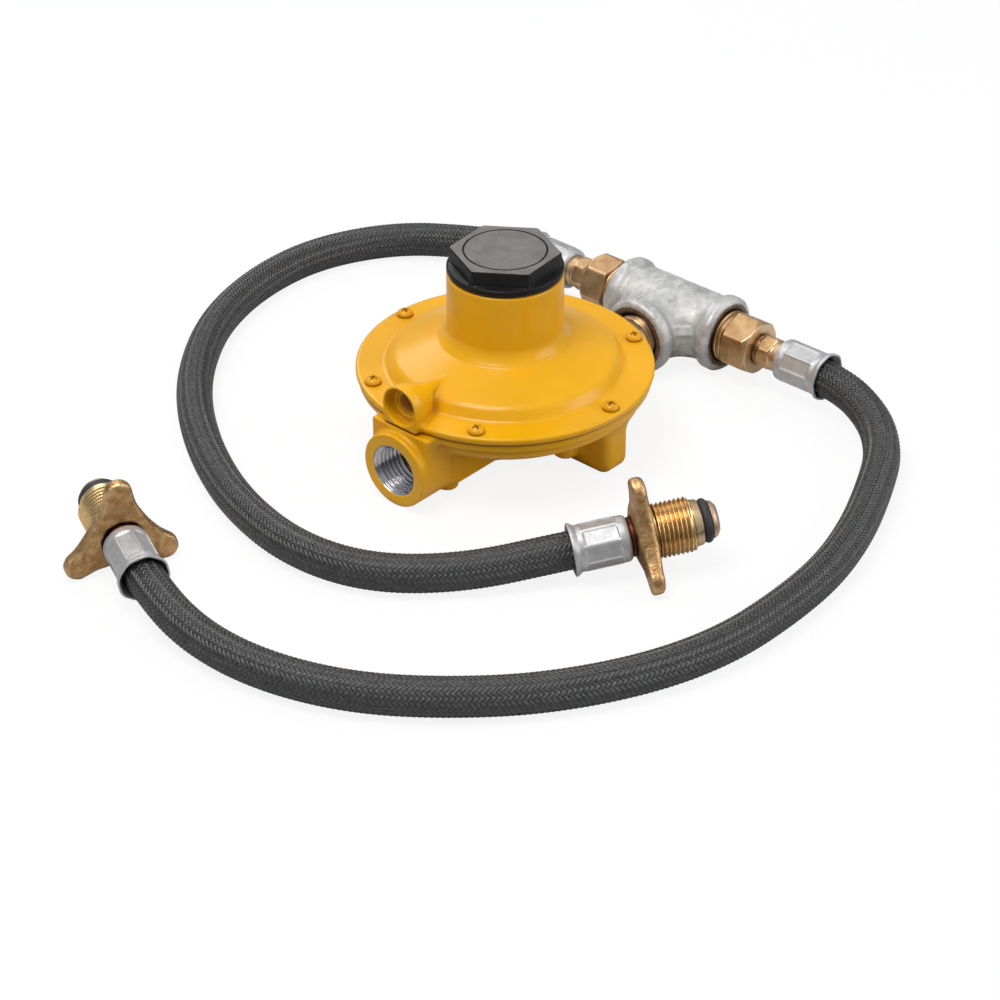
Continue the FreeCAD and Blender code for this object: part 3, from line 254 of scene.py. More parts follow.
def galvanised(name):
    shade = Shade(name)
    cloud = shade.noise(95, 5, 0.62, 0.4)
    flake_grey = shade.node("SeparateColor", {0: shade.cells(420, "Color")}).outputs[0]
    speckle = shade.noise(1500, 3, 0.7)
    flecks = shade.plus(shade.times(flake_grey, 0.16), shade.times(speckle, 0.28))
    tone = shade.plus(shade.times(cloud, 0.75), flecks)
    base = shade.mix(shade.spread(tone, 0.34, 0.84), (0.39, 0.39, 0.385), (0.70, 0.70, 0.69))
    # Painted shade: darker in corners and crevices, by ambient occlusion.
    base = shade.mix(shade.spread(shade.hollows(5.0), 0.2, 0.95), (0.11, 0.105, 0.10), base)
    height = shade.plus(shade.noise(420, 4, 0.6), shade.times(speckle, 0.4))
    return shade.surface(Base_Color=base, Metallic=0.5, Normal=shade.bump(height, 0.11, 0.7),
                         Roughness=shade.spread(cloud, 0.3, 0.7, 0.46, 0.62))


def plastic(name, colour, light, rough, grain=2200, depth=0.02, gloss=0.5):
    shade = Shade(name)
    fine = shade.noise(grain, 3, 0.6)
    cloud = shade.mix(0.5, shade.noise(120, 4, 0.6), fine)
    return shade.surface(Base_Color=shade.mix(shade.spread(cloud, 0.35, 0.65), colour, light),
                         Roughness=shade.spread(fine, 0.3, 0.7, *rough), Normal=shade.bump(fine, depth, 0.7),
                         Specular_IOR_Level=gloss)


STRANDS = 24  # in each direction round the hose
LAY = 50.4  # along the hose for one turn of a strand
YARNS = 3  # side by side in a strand


def braid(name):
    """Two-over-two braid of black filament yarn, laid out on the hose's own map."""
    shade = Shade(name)
    split = shade.node("SeparateXYZ", {0: shade.node("UVMap", uv_map="Braid").outputs[0]})
    a = shade.times(shade.plus(split.outputs["X"], split.outputs["Y"]), STRANDS)
    b = shade.times(shade.minus(split.outputs["X"], split.outputs["Y"]), STRANDS)
    strand_a, strand_b = shade.math("FLOOR", a), shade.math("FLOOR", b)
    a_on_top = shade.math("LESS_THAN", shade.math("FLOORED_MODULO", shade.minus(strand_a, strand_b), 4.0), 1.5)
    across = shade.plus(shade.times(shade.math("FRACT", a), a_on_top),
                        shade.times(shade.math("FRACT", b), shade.minus(1.0, a_on_top)))
    ridge = shade.math("ABSOLUTE", shade.math("SINE", shade.times(across, math.pi * YARNS)))
    number = shade.node("CombineXYZ", {0: strand_a, 1: strand_b, 2: a_on_top}).outputs[0]
    each = shade.node("TexWhiteNoise", {"Vector": number}, noise_dimensions="3D").outputs["Value"]
    fibre = shade.noise(3200, 3, 0.7)
    edge = shade.times(shade.times(across, shade.minus(1.0, across)), 4.0)
    # The ridge term lightens the crown of each yarn: painted sheen.
    tone = shade.plus(shade.times(each, 0.30), shade.plus(shade.times(ridge, 0.28), shade.times(fibre, 0.42)))
    base = shade.mix(shade.spread(tone, 0.25, 0.85), (0.0025, 0.0025, 0.0026), (0.0465, 0.0465, 0.0484))
    # Painted shade along the edges of each strand, where it dips beside the next.
    base = shade.mix(shade.spread(edge, 0.0, 0.45), (0.002, 0.002, 0.002), base)
    # Painted shade in crevices, by ambient occlusion.
    base = shade.mix(shade.spread(shade.hollows(1.6), 0.2, 0.85), (0.001, 0.001, 0.001), base)
    height = shade.plus(shade.times(edge, 1.6), shade.plus(shade.times(ridge, 0.5), shade.times(fibre, 0.7)))
    return shade.surface(Base_Color=base, Roughness=shade.spread(shade.noise(900, 3, 0.7), 0.3, 0.7, 0.26, 0.42),
                         Normal=shade.bump(height, 0.14, 1.0), Specular_IOR_Level=0.9)


# Colour, and the darker colour painted into corners and crevices as shade.
PAINTS = {
    "casting": ((0.80, 0.395, 0.001), (0.46, 0.17, 0.001)),
    "screw_paint": ((0.76, 0.355, 0.002), (0.26, 0.10, 0.002)),
    # The seam paint is the casting paint over the diaphragm's rim, coloured darker as painted shade in the narrow
    # seam.
    "shaded_seam_paint": ((0.42, 0.17, 0.008), (0.16, 0.06, 0.005)),
}
# Colour, lighter colour and roughness range; then grain, bump depth and gloss.
PLASTICS = {
    "cap_plastic": ((0.004, 0.004, 0.004), (0.008, 0.0075, 0.0075), (0.34, 0.46), 2200, 0.02, 0.24),
    # The next row is the black cap plastic coloured lighter for the cap's upward face: painted light on its matt top.
    "cap_lit_top": ((0.125, 0.119, 0.113), (0.19, 0.182, 0.174), (0.50, 0.66), 1500, 0.05),
    "grey_plastic": ((0.25, 0.25, 0.27), (0.32, 0.32, 0.34), (0.4, 0.55)),
    "rubber": ((0.022, 0.022, 0.024), (0.040, 0.040, 0.043), (0.5, 0.7), 1500, 0.03),
    "diaphragm_rubber": ((0.02, 0.02, 0.02), (0.035, 0.035, 0.035), (0.5, 0.7), 1200, 0.04),
}
# Colour, second colour, roughness range, patch and grain scale, and bump depth.
METALS = {
    "mouth_iron": ((0.24, 0.17, 0.11), (0.14, 0.10, 0.07), (0.5, 0.65), 300, 1200, 0.08),
    "brass": ((0.66, 0.43, 0.225), (0.48, 0.285, 0.135), (0.28, 0.42), 160, 1500, 0.03),
    "nipple_brass": ((0.56, 0.38, 0.22), (0.42, 0.26, 0.14), (0.28, 0.42), 180, 1500, 0.02),
    "forged_brass": ((0.64, 0.40, 0.185), (0.40, 0.215, 0.085), (0.30, 0.46), 300, 1500, 0.20),
    "thread_brass": ((0.86, 0.58, 0.27), (0.72, 0.44, 0.18), (0.22, 0.34), 260, 1900, 0.015),
    "land_brass": ((0.78, 0.60, 0.35), (0.66, 0.47, 0.25), (0.26, 0.38), 200, 1600, 0.015),
    "nose_brass": ((0.70, 0.50, 0.37), (0.60, 0.41, 0.29), (0.36, 0.50), 200, 1600, 0.03),
    "copper_band": ((0.20, 0.055, 0.03), (0.13, 0.035, 0.02), (0.34, 0.48), 240, 1600, 0.02),
    "plated_steel": ((0.60, 0.60, 0.605), (0.50, 0.50, 0.51), (0.44, 0.60), 230, 1400, 0.035),
    "bare_zinc": ((0.62, 0.62, 0.65), (0.48, 0.48, 0.52), (0.16, 0.28), 260, 1700, 0.015),
    "steel": ((0.52, 0.53, 0.55), (0.42, 0.43, 0.45), (0.28, 0.40), 200, 1600, 0.02),
    "spring_steel": ((0.36, 0.37, 0.39), (0.28, 0.29, 0.31), (0.3, 0.42), 200, 1600, 0.02),
}
# Extra settings per metal: the edge colour lightens convex edges (wear on the brass, a painted highlight on the crests
# of the bare zinc thread); shadow sets how dark the painted corner shade goes.
METAL_WEAR_AND_LIGHT = {
    "mouth_iron": {"metallic": 0.5},
    "brass": {"wear_and_highlight": (0.80, 0.60, 0.38)},
    "forged_brass": {"wear_and_highlight": (0.84, 0.63, 0.38), "pits": 0.6},
    "thread_brass": {"wear_and_highlight": (0.92, 0.76, 0.44), "shadow": 0.5},
    "plated_steel": {"wear_and_highlight": (0.74, 0.74, 0.74), "metallic": 0.8},
    "bare_zinc": {"wear_and_highlight": (0.92, 0.92, 0.94), "shadow": 0.12},
}
MATERIALS = {"galvanised_iron": galvanised("galvanised_iron"), "black_braid": braid("black_braid")}
for key, look in PAINTS.items():
    MATERIALS[key] = paint(key, *look)
for key, look in PLASTICS.items():
    MATERIALS[key] = plastic(key, *look)
for key, look in METALS.items():
    MATERIALS[key] = metal(key, *look, **METAL_WEAR_AND_LIGHT.get(key, {}))


# ---- meshes

def frame_of(direction, side_hint=(1, 0, 0)):
    """Axes whose Z is the direction, with X as near to the hint as can be."""
    z = Vector(direction).normalized()
    x = Vector(side_hint)
    x = (x - z * x.dot(z)).normalized()
    return np.array([x, z.cross(x), z])


def moved(made, at, axes=((1, 0, 0), (0, 1, 0), (0, 0, 1))):
    """Points and faces taken to another place and another set of axes."""
    points, faces = made
    return np.asarray(points) @ np.asarray(axes) + np.asarray(at), faces


def spun(made, turn):
    """Points and faces turned about Z."""
    cos, sin = math.cos(turn), math.sin(turn)
    return moved(made, (0, 0, 0), [[cos, sin, 0], [-sin, cos, 0], [0, 0, 1]])


def add_mesh(name, made, material, sharp):
    points, faces = made
    mesh = bpy.data.meshes.new(name)
    mesh.from_pydata([tuple(p) for p in np.asarray(points) * MM], [], [tuple(f) for f in faces])
    mesh.shade_smooth()
    if sharp:
        mesh.set_sharp_from_angle(angle=math.radians(sharp))
    mesh.materials.append(MATERIALS[material])
    return add_object(name, mesh)


def add_piece(name, made, material, node, body="regulator", sharp=38.0):
    piece = add_mesh(name, made, material, sharp)
    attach(piece, body)
    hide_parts(node)
    return piece


def tint(piece, material, chosen):
    """Give the faces that the test picks, by their middle in millimetres, a second finish."""
    mesh = piece.data
    mesh.materials.append(MATERIALS[material])
    middles = np.empty(len(mesh.polygons) * 3)
    mesh.polygons.foreach_get("center", middles)
    picked = chosen(*(middles.reshape(-1, 3).T / MM))
    kept = np.zeros(len(mesh.polygons), int)
    mesh.polygons.foreach_get("material_index", kept)
    kept[picked] = len(mesh.materials) - 1
    mesh.polygons.foreach_set("material_index", kept)


def outline(corners, step=None):
    """Points of a closed outline. A corner is (radius, height) or (radius, height, rounding)."""
    spots = [np.array(corner[:2], float) for corner in corners]
    points = []
    for corner, here, before, after in zip(corners, spots, spots[-1:] + spots, spots[1:] + spots[:1]):
        if len(corner) < 3:
            points.append(here)
            continue
        to_before, to_after = np.linalg.norm(before - here), np.linalg.norm(after - here)
        towards_before, towards_after = (before - here) / to_before, (after - here) / to_after
        half = math.acos(float(np.clip(towards_before @ towards_after, -1, 1))) / 2
        reach = min(corner[2] / math.tan(half), 0.49 * to_before, 0.49 * to_after)
        start, end = here + towards_before * reach, here + towards_after * reach
        points += [(1 - share) ** 2 * start + 2 * share * (1 - share) * here + share ** 2 * end
                   for share in np.linspace(0, 1, 6)]
    if step:
        finer = []
        for start, end in zip(points, points[1:] + points[:1]):
            parts = max(1, int(round(np.linalg.norm(end - start) / step)))
            finer += [start + (end - start) * k / parts for k in range(parts)]
        points = finer
    return np.array(points)


def turned(points, segments=96, shape=None):
    """A closed outline turned about Z. shape(radius, height, angle) bends the surface."""
    radius = np.repeat(points[:, :1], segments, 1)
    height = np.repeat(points[:, 1:2], segments, 1)
    angle = np.repeat((np.arange(segments) * TURN / segments)[None, :], len(points), 0)
    if shape is not None:
        radius, height = shape(radius, height, angle)
    verts = np.stack([radius * np.cos(angle), radius * np.sin(angle), height], -1).reshape(-1, 3)
    row = np.arange(len(points))[:, None]
    column = np.arange(segments)[None, :]
    next_row, next_column = (row + 1) % len(points), (column + 1) % segments
    faces = np.stack([row * segments + column, row * segments + next_column,
                      next_row * segments + next_column, next_row * segments + column], -1).reshape(-1, 4)
    return verts, faces


def hexagon(half_flats, angle, blunt):
    """Radius of a hexagon with a corner at angle 0, each corner cut back by the blunt length."""
    step = TURN / 6
    flat = half_flats / np.cos(angle % step - step / 2)
    return soft_min(flat, half_flats / math.cos(step / 2) - blunt, blunt)


def soft_min(a, b, reach):
    share = np.clip(0.5 + 0.5 * (b - a) / reach, 0, 1)
    return b + (a - b) * share - reach * share * (1 - share)


def thread_wave(height, angle, pitch, hand):
    """0 on the crest and 1 in the root of a V thread; hand 1 is right-hand, -1 left-hand."""
    phase = (height / pitch - hand * angle / TURN) % 1.0
    return np.clip(1.22 * abs(2 * phase - 1) - 0.12, 0, 1)


def smooth_step(value, low, high):
    share = np.clip((value - low) / (high - low), 0, 1)
    return share * share * (3 - 2 * share)


# Signed distances, and how they join with round edges and fillets.

def between(value, low, high):
    return maximum(low - value, value - high)


def both(a, b, edge):
    u, v = maximum(edge + a, 0), maximum(edge + b, 0)
    return minimum(-edge, maximum(a, b)) + np.sqrt(u * u + v * v)


def either(a, b, fillet):
    u, v = maximum(fillet - a, 0), maximum(fillet - b, 0)
    return maximum(fillet, minimum(a, b)) - np.sqrt(u * u + v * v)


def without(a, b, edge):
    return both(a, -b, edge)


def side_of(across, along, start, end):
    """Distance to the line through two (across, along) points; positive on its right."""
    dx, dy = end[0] - start[0], end[1] - start[1]
    length = math.hypot(dx, dy)
    return ((across - start[0]) * dy - (along - start[1]) * dx) / length


def surface_of(field, low, high, step):
    """Quads on the zero level of a field, with each point pulled onto the level."""
    axes = [np.arange(a - 1.5 * step, b + 1.5 * step, step) for a, b in zip(low, high)]
    y, z = np.meshgrid(axes[1], axes[2], indexing="ij")
    value = np.stack([field(np.stack([np.full(y.shape, x), y, z], -1).reshape(-1, 3)).reshape(y.shape)
                      for x in axes[0]])
    cells = tuple(n - 1 for n in value.shape)
    total = np.zeros((*cells, 3))
    count = np.zeros(cells)
    crossings = []
    for axis in range(3):
        near, far = [slice(None)] * 3, [slice(None)] * 3
        near[axis], far[axis] = slice(0, -1), slice(1, None)
        start, end = value[tuple(near)], value[tuple(far)]
        crossing = np.argwhere((start < 0) != (end < 0))
        start, end = start[tuple(crossing.T)], end[tuple(crossing.T)]
        spot = crossing.astype(float)
        spot[:, axis] += start / (start - end)
        around = []
        for d1, d2 in ((0, 0), (-1, 0), (-1, -1), (0, -1)):
            cell = crossing.copy()
            cell[:, (axis + 1) % 3] += d1
            cell[:, (axis + 2) % 3] += d2
            good = np.all((cell >= 0) & (cell < cells), 1)
            np.add.at(total, tuple(cell[good].T), spot[good])
            np.add.at(count, tuple(cell[good].T), 1)
            around.append((cell, good))
        crossings.append((around, start < 0))
    used = count > 0
    number = np.full(cells, -1)
    number[used] = np.arange(used.sum())
    points = total[used] / count[used][:, None] * step + np.array([axis[0] for axis in axes])
    faces = []
    for around, outward in crossings:
        whole = np.all([good for _, good in around], 0)
        quad = np.stack([number[tuple(cell[whole].T)] for cell, _ in around], -1)
        flip = ~outward[whole]
        quad[flip] = quad[flip][:, ::-1]
        faces.append(quad)
    small = 0.02
    for _ in range(4):
        slope = np.stack([(field(points + offset) - field(points - offset)) / (2 * small)
                          for offset in np.eye(3) * small], -1)
        size = maximum((slope ** 2).sum(1), 0.25)
        pull = slope * (field(points) / size)[:, None]
        length = maximum(np.linalg.norm(pull, axis=1, keepdims=True), 1e-9)
        points = points - pull * minimum(1, 0.6 * step / length)
    return points, np.concatenate(faces)


def lumps(points, size, depth):
    """Gentle unevenness of a casting."""
    x, y, z = (points / size * TURN).T
    return depth * (np.sin(x + 1.7 * np.sin(0.7 * y)) * np.sin(0.9 * z + 1.3 * np.sin(0.6 * x))
                    + 0.6 * np.sin(1.9 * y + 0.8 * np.sin(1.1 * z)))


# ---- hoses

HOSE_A = [
    (79.0, 115.8, 9.8), (61.1, 147.1, 7.9), (25.5, 165.4, 7.8), (-12.4, 165.9, 7.8), (-50.5, 154.2, 7.8),
    (-83.6, 132.0, 7.8), (-109.0, 106.5, 7.8), (-131.3, 74.0, 7.8), (-148.1, 37.6, 7.8), (-155.2, -0.8, 7.8),
    (-147.3, -35.0, 7.8), (-123.1, -62.3, 8.2),
]
HOSE_B = [
    (73.2, -118.3, 12.0), (57.5, -135.0, 8.8), (33.0, -147.3, 7.8), (4.0, -159.6, 7.8), (-27.0, -167.7, 7.8),
    (-58.0, -169.6, 7.8), (-91.5, -168.0, 7.8), (-125.0, -157.6, 7.8), (-159.5, -137.0, 7.8),
    (-186.0, -111.5, 7.8), (-207.3, -82.8, 7.8), (-219.8, -48.5, 7.8), (-222.2, -14.0, 8.7),
]
HOSE_RADIUS = 7.75
HOSE_BORE = 4.0
HOSE_SEGMENTS = 120
HOSE_ROW = 0.42
FERRULE_WALL = 1.2
HOSE_LEAD = 28.6


def route_line(name, points):
    """Even points along the hose's NURBS line."""
    curve = bpy.data.curves.new(name, "CURVE")
    curve.dimensions = "3D"
    spline = curve.splines.new("NURBS")
    spline.points.add(len(points) - 1)
    for spot, at in zip(spline.points, points):
        spot.co = (*(c * MM for c in at), 1)
    spline.order_u = 3
    spline.use_endpoint_u = True
    spline.resolution_u = 24
    holder = add_object(name, curve)
    line = bpy.data.meshes.new_from_object(holder.evaluated_get(bpy.context.evaluated_depsgraph_get()))
    spots = np.array([v.co for v in line.vertices]) / MM
    bpy.data.objects.remove(holder)
    bpy.data.meshes.remove(line)
    run = np.concatenate([[0], np.cumsum(np.linalg.norm(np.diff(spots, axis=0), axis=1))])
    return spots, run


def carried_axes(centre):
    """Two directions across the line at each of its points, without twist."""
    tangent = np.gradient(centre, axis=0)
    for _ in range(6):
        tangent[1:-1] = (tangent[:-2] + 2 * tangent[1:-1] + tangent[2:]) / 4
    tangent /= np.linalg.norm(tangent, axis=1, keepdims=True)
    normal = np.zeros_like(centre)
    normal[0] = UP
    for index in range(1, len(centre)):
        carried = normal[index - 1]
        carried = carried - tangent[index] * (carried @ tangent[index])
        normal[index] = carried / np.linalg.norm(carried)
    return normal, np.cross(tangent, normal)


def braid_radius(u, v):
    """Radius of the woven surface, with each strand crowned and dipping under the next."""
    a, b = (u + v) * STRANDS, (u - v) * STRANDS
    row = (np.floor(a + 1e-9) - np.floor(b + 1e-9)) % 4
    on_top = row < 1.5
    part_a, part_b = a - np.floor(a), b - np.floor(b)
    across = np.where(on_top, part_a, part_b)
    over = np.where(on_top, np.where(row < 0.5, 1 + part_b, part_b), np.where(row > 2.5, 1 + part_a, part_a)) / 2
    crown = 1 - abs(2 * across - 1) ** 3
    swell = np.sin(np.pi * np.clip(over, 0, 1)) ** 0.7
    return HOSE_RADIUS - 0.34 + 0.42 * crown * (0.3 + 0.7 * swell)


def map_braid(piece, faces, flat_u, flat_v):
    """The hose's own map, which the braid material reads."""
    loops = faces.reshape(-1)
    loop_v = flat_v[loops].reshape(-1, 4)
    wraps = (loop_v.max(1) - loop_v.min(1)) > 0.5
    loop_v[wraps] = np.where(loop_v[wraps] < 0.5, loop_v[wraps] + 1, loop_v[wraps])
    both_uv = np.stack([flat_u[loops], loop_v.reshape(-1)], -1).astype(np.float32)
    piece.data.uv_layers.new(name="Braid").data.foreach_set("uv", both_uv.reshape(-1))


def braided_hose(name, node, points):
    spots, run = route_line(name + "_route", points)
    length = run[-1]
    rows = int(length / HOSE_ROW)
    along = np.linspace(0, length, rows + 1)
    centre = np.stack([np.interp(along, run, spots[:, i]) for i in range(3)], 1)
    normal, side = carried_axes(centre)
    share = np.arange(HOSE_SEGMENTS) / HOSE_SEGMENTS
    u = np.repeat(along[:, None] / LAY, HOSE_SEGMENTS, 1)
    v = np.repeat(share[None, :], len(along), 0)
    angle = v * TURN
    ring = np.cos(angle)[..., None] * normal[:, None, :] + np.sin(angle)[..., None] * side[:, None, :]
    outer = centre[:, None, :] + braid_radius(u, v)[..., None] * ring
    outer[..., 2] = maximum(outer[..., 2], 0.02)
    inner_rows = np.unique(np.linspace(0, rows, rows // 12 + 1).astype(int))
    inner = centre[inner_rows][:, None, :] + HOSE_BORE * ring[inner_rows]

    def band(first, second):
        k = np.arange(HOSE_SEGMENTS)
        n = (k + 1) % HOSE_SEGMENTS
        return np.stack([first + k, first + n, second + n, second + k], -1)

    outside = [row * HOSE_SEGMENTS for row in range(rows + 1)]
    inside = [(rows + 1 + row) * HOSE_SEGMENTS for row in range(len(inner_rows))]
    faces = [band(here, ahead) for here, ahead in zip(outside, outside[1:])]
    faces += [band(ahead, here) for here, ahead in zip(inside, inside[1:])]
    faces += [band(inside[0], outside[0]), band(outside[-1], inside[-1])]
    faces = np.concatenate(faces)
    verts = np.concatenate([outer.reshape(-1, 3), inner.reshape(-1, 3)])
    piece = add_piece(name, (verts, faces), "black_braid", node, sharp=None)
    map_braid(piece, faces, np.concatenate([u.reshape(-1), np.repeat(along[inner_rows] / LAY, HOSE_SEGMENTS)]),
              np.concatenate([v.reshape(-1), np.tile(share, len(inner_rows))]))


# ---- bottle connectors

WHEEL_START = 26.0
WHEEL_MIDDLE = 29.4
WHEEL_FRONT = 24.0
WHEEL_RADIUS = 26.4
WING_TIP = 5.7
COLLAR_END = 35.8
THREAD_RADIUS = 11.175
THREAD_PITCH = 1.814
THREAD_START, THREAD_END = 10.55, 27.0
FERRULE_LENGTH = 23.8
CONNECTORS = {
    "a": {"x": -59.95, "y": -108.7, "turn": -37.74, "rise": 7.87},
    "b": {"x": -199.55, "y": 54.45, "turn": 66.23, "rise": 4.89},
}


def connector_place(letter):
    """Nose tip and axes of a bottle connector; its own Z runs from the nose to the hose, X is up."""
    made = CONNECTORS[letter]
    turn, rise = math.radians(made["turn"]), math.radians(made["rise"])
    nose = Vector((math.cos(rise) * math.cos(turn), math.cos(rise) * math.sin(turn), math.sin(rise)))
    side = Vector((-math.sin(turn), math.cos(turn), 0))
    wing = (WHEEL_RADIUS - WING_TIP) / 2 + WING_TIP
    height = wing * math.cos(rise) + (WHEEL_MIDDLE - WHEEL_START) * math.sin(rise) + 0.05
    front = Vector((made["x"], made["y"], height + (WHEEL_MIDDLE - WHEEL_FRONT) * math.sin(rise)))
    z = -nose
    return front + nose * WHEEL_FRONT, np.array([side.cross(z), side, z])


def wheel_field(points):
    """Three wings round a hub, along the connector's own axes."""
    x, y, z = points.T
    radius = hypot(x, y)
    outline_here = None
    for index in range(3):
        turn = index * TURN / 3
        along = x * math.cos(turn) + y * math.sin(turn)
        across = abs(-x * math.sin(turn) + y * math.cos(turn))
        reach = WHEEL_RADIUS - WING_TIP - 0.1
        width = 9.6 + (WING_TIP + 0.1 - 9.6) * np.clip(along / reach, 0, 1)
        arm = maximum(across - width, maximum(along - reach, -along))
        tip = hypot(along - reach, across) - (WING_TIP + 0.1)
        wing = minimum(arm, tip)
        outline_here = wing if outline_here is None else either(outline_here, wing, 9.0)
    front = 26.1 + 0.9 * smooth_step(radius, 10, 25)
    back = 32.8 + 1.3 * (1 - smooth_step(radius, 8.6, 14.5))
    body = both(both(outline_here + 0.1, front - z, 2.5), z - back, 1.5)
    body = without(body, radius - 5.6, 0.5)
    body = without(body, maximum(radius - 8.35, 33.6 - z), 0.2)
    return body + lumps(points, 9.0, 0.07)


def cut_thread(radius, height, angle):
    """The left-hand bottle thread, with its lead-in and the neck behind it."""
    fade = smooth_step(height, THREAD_START - 0.6, THREAD_START + 1.2) * (1 - smooth_step(height, 24.2, 25.3))
    depth = 0.9 * thread_wave(height, angle, THREAD_PITCH, -1) * fade
    neck = 0.9 * smooth_step(height, 24.6, 25.5)
    lead = maximum(0, THREAD_START + 0.7 - height) * 0.9
    return np.where(radius > 8.0, radius - depth - neck - lead, radius), height


def build_wheel(letter, place):
    body, node = f"wheel_{letter}", f"handwheel_{letter}"
    made = surface_of(wheel_field, (-18, -26, 24), (28, 26, 36), 0.55)
    wheel = add_piece(f"forged_wheel_{letter}", moved(made, *place), "forged_brass", node, body, None)
    bore, row = 5.55, 0.14
    rings = [(THREAD_RADIUS, THREAD_START + row * i) for i in range(int((THREAD_END - THREAD_START) / row) + 1)]
    made = turned(np.array([(bore, THREAD_START)] + rings + [(bore, THREAD_END)]), 120, cut_thread)
    thread = add_piece(f"bottle_thread_{letter}", moved(made, *place), "thread_brass", node, body, 50)
    return [wheel, thread]


def ferrule_mesh(turn=0.0):
    """Crimped ferrule, closed end at height 0, with eight pressed panels and a flared mouth."""
    def crimp(radius, height, angle):
        step = TURN / 8
        off = abs((angle - turn + step / 2) % step - step / 2)
        panel = smooth_step(height, 4.2, 4.9) * (1 - smooth_step(height, 18.0, 18.8))
        side = 1 - smooth_step(off, math.radians(18.4), math.radians(20.6))
        crest = 0.22 * smooth_step(height, 3.4, 5.0) * (1 - smooth_step(height, 18.2, 20.0))
        pressed = radius + crest * (1 - side) - (radius - 8.72 / np.cos(off)) * panel * side
        scallop = 0.16 * np.cos(8 * (angle - turn) + math.pi) * smooth_step(height, 19.5, 23.8)
        return np.where(radius > 9.0, pressed + scallop, radius + np.where(height > 20, scallop, 0)), height

    corners = [
        (7.05, 0.0), (7.7, 0.0), (8.55, 0.3), (9.15, 0.95), (9.42, 2.1), (9.42, 20.9, 0.9), (10.6, 22.6, 0.5),
        (10.72, 23.55, 0.25), (9.9, FERRULE_LENGTH, 0.2), (8.75, 22.0, 0.5), (7.95, 20.8, 0.4),
        (7.95, FERRULE_WALL), (7.05, FERRULE_WALL),
    ]
    return turned(outline(corners, 0.33), 160, crimp)


def build_nose_stem(letter, place):
    """Nose piece, land and copper band, all of one turned piece."""
    segments = 96
    nose = outline([
        (2.4, 0.6), (2.9, 0.0, 0.3), (5.5, 0.0, 0.6), (7.3, 1.4, 1.6), (7.75, 2.85, 0.25), (7.3, 3.0), (5.25, 3.0),
        (5.25, 6.85), (8.7, 6.85, 0.35), (9.15, 7.3, 0.2), (9.55, 10.1, 0.25), (9.3, 10.3, 0.15), (5.5, 10.32),
        (5.5, 33.75), (7.6, 33.8, 0.25), (8.05, 34.2, 0.3), (8.05, 35.35, 0.3), (7.7, 35.75, 0.2), (7.0, 35.8),
        (7.0, 37.0), (3.95, 37.0), (3.95, 54.0), (2.4, 54.6),
    ])
    piece = add_piece(f"nose_stem_{letter}", moved(turned(nose, segments), *place), "nose_brass",
                      f"nose_piece_{letter}")
    for finish in ("land_brass", "copper_band"):
        piece.data.materials.append(MATERIALS[finish])
    height = nose[:, 1]
    behind_nose = np.where((height + np.roll(height, -1)) / 2 < 20, 1, 2)
    finish = np.repeat(np.where(height < 6.0, 0, behind_nose), segments)
    piece.data.polygons.foreach_set("material_index", finish)
    return piece


def build_connector(letter):
    place = connector_place(letter)
    tip, axes = place
    wire, ring_radius, ring_height = 1.92, 7.1, 4.95
    ring = [(ring_radius + wire * math.cos(t), ring_height + wire * math.sin(t))
            for t in np.linspace(0, TURN, 28)[:-1]]
    at = Vector(tip) + Vector(axes[2]) * COLLAR_END
    return [
        build_nose_stem(letter, place),
        add_piece(f"nose_seal_{letter}", moved(turned(np.array(ring)), *place), "rubber",
                  f"nose_ring_{letter}"),
        add_piece(f"crimp_{letter}", moved(ferrule_mesh(0.2), at, axes), "plated_steel",
                  f"bottle_ferrule_{letter}", sharp=50),
        *build_wheel(letter, place),
    ]


# ---- manifold

def cast_pad(points):
    """The small flat pad in the crotch of the tee."""
    across, slope = np.array([0.676, -0.737, 0.0]), np.array([0.427, 0.392, 0.815])
    out = np.cross(across, slope)
    local = points - np.array(CAST_PAD)
    flat = maximum(abs(local @ across) - 4.4, abs(local @ slope) - 2.2)
    return both(flat, abs(local @ out) - 1.9, 0.6)


def tee_field(points):
    x, y, z = points.T
    run_across, branch_across = hypot(x, z), hypot(y, z)
    reach, bead, bead_radius = TEE_REACH, 5.2, 16.85
    run = both(run_across - 15.3, abs(y) - reach, 1.2)
    rim = both(run_across - bead_radius, maximum(abs(y) - reach, reach - bead - abs(y)), 1.7)
    run = either(run, rim, 3.0)
    branch = both(branch_across - 15.3, between(x, -reach, 0), 1.2)
    rim = both(branch_across - bead_radius, between(x, -reach, bead - reach), 1.7)
    branch = either(branch, rim, 3.0)
    body = either(run, branch, 7.0) + lumps(points, 13.0, 0.10)
    body = maximum(either(body, cast_pad(points), 0.7), -17.0 - z)
    bore = minimum(run_across - 9.2, maximum(branch_across - 9.2, x))
    socket = maximum(run_across - 10.85, 14.0 - abs(y))
    socket = minimum(socket, maximum(branch_across - 10.85, x + 14.5))
    body = without(body, minimum(bore, socket), 0.3)
    mouth = maximum(run_across - 11.5 - 1.2 * (abs(y) - reach), 26.0 - abs(y))
    branch_mouth = maximum(branch_across - 11.5 - 1.2 * (-x - reach), x + 26.0)
    return without(body, minimum(mouth, branch_mouth), 0.5)


def build_tee():
    def in_mouth(x, y, z):
        x, y, z = x - TEE[0], y - TEE[1], z - TEE[2]
        run, branch = hypot(x, z), hypot(y, z)
        rim = ((run < 14.4) & (abs(y) > 27.9)) | ((branch < 14.4) & (x < -27.9))
        return rim | ((run < 12.6) & (abs(y) > 14)) | ((branch < 12.6) & (x < -14))

    made = surface_of(tee_field, (-29, -29, -17.5), (17.5, 29, 17.5), 0.6)
    piece = add_piece("tee_casting", moved(made, TEE), "galvanised_iron", "tee", sharp=None)
    tint(piece, "mouth_iron", in_mouth)


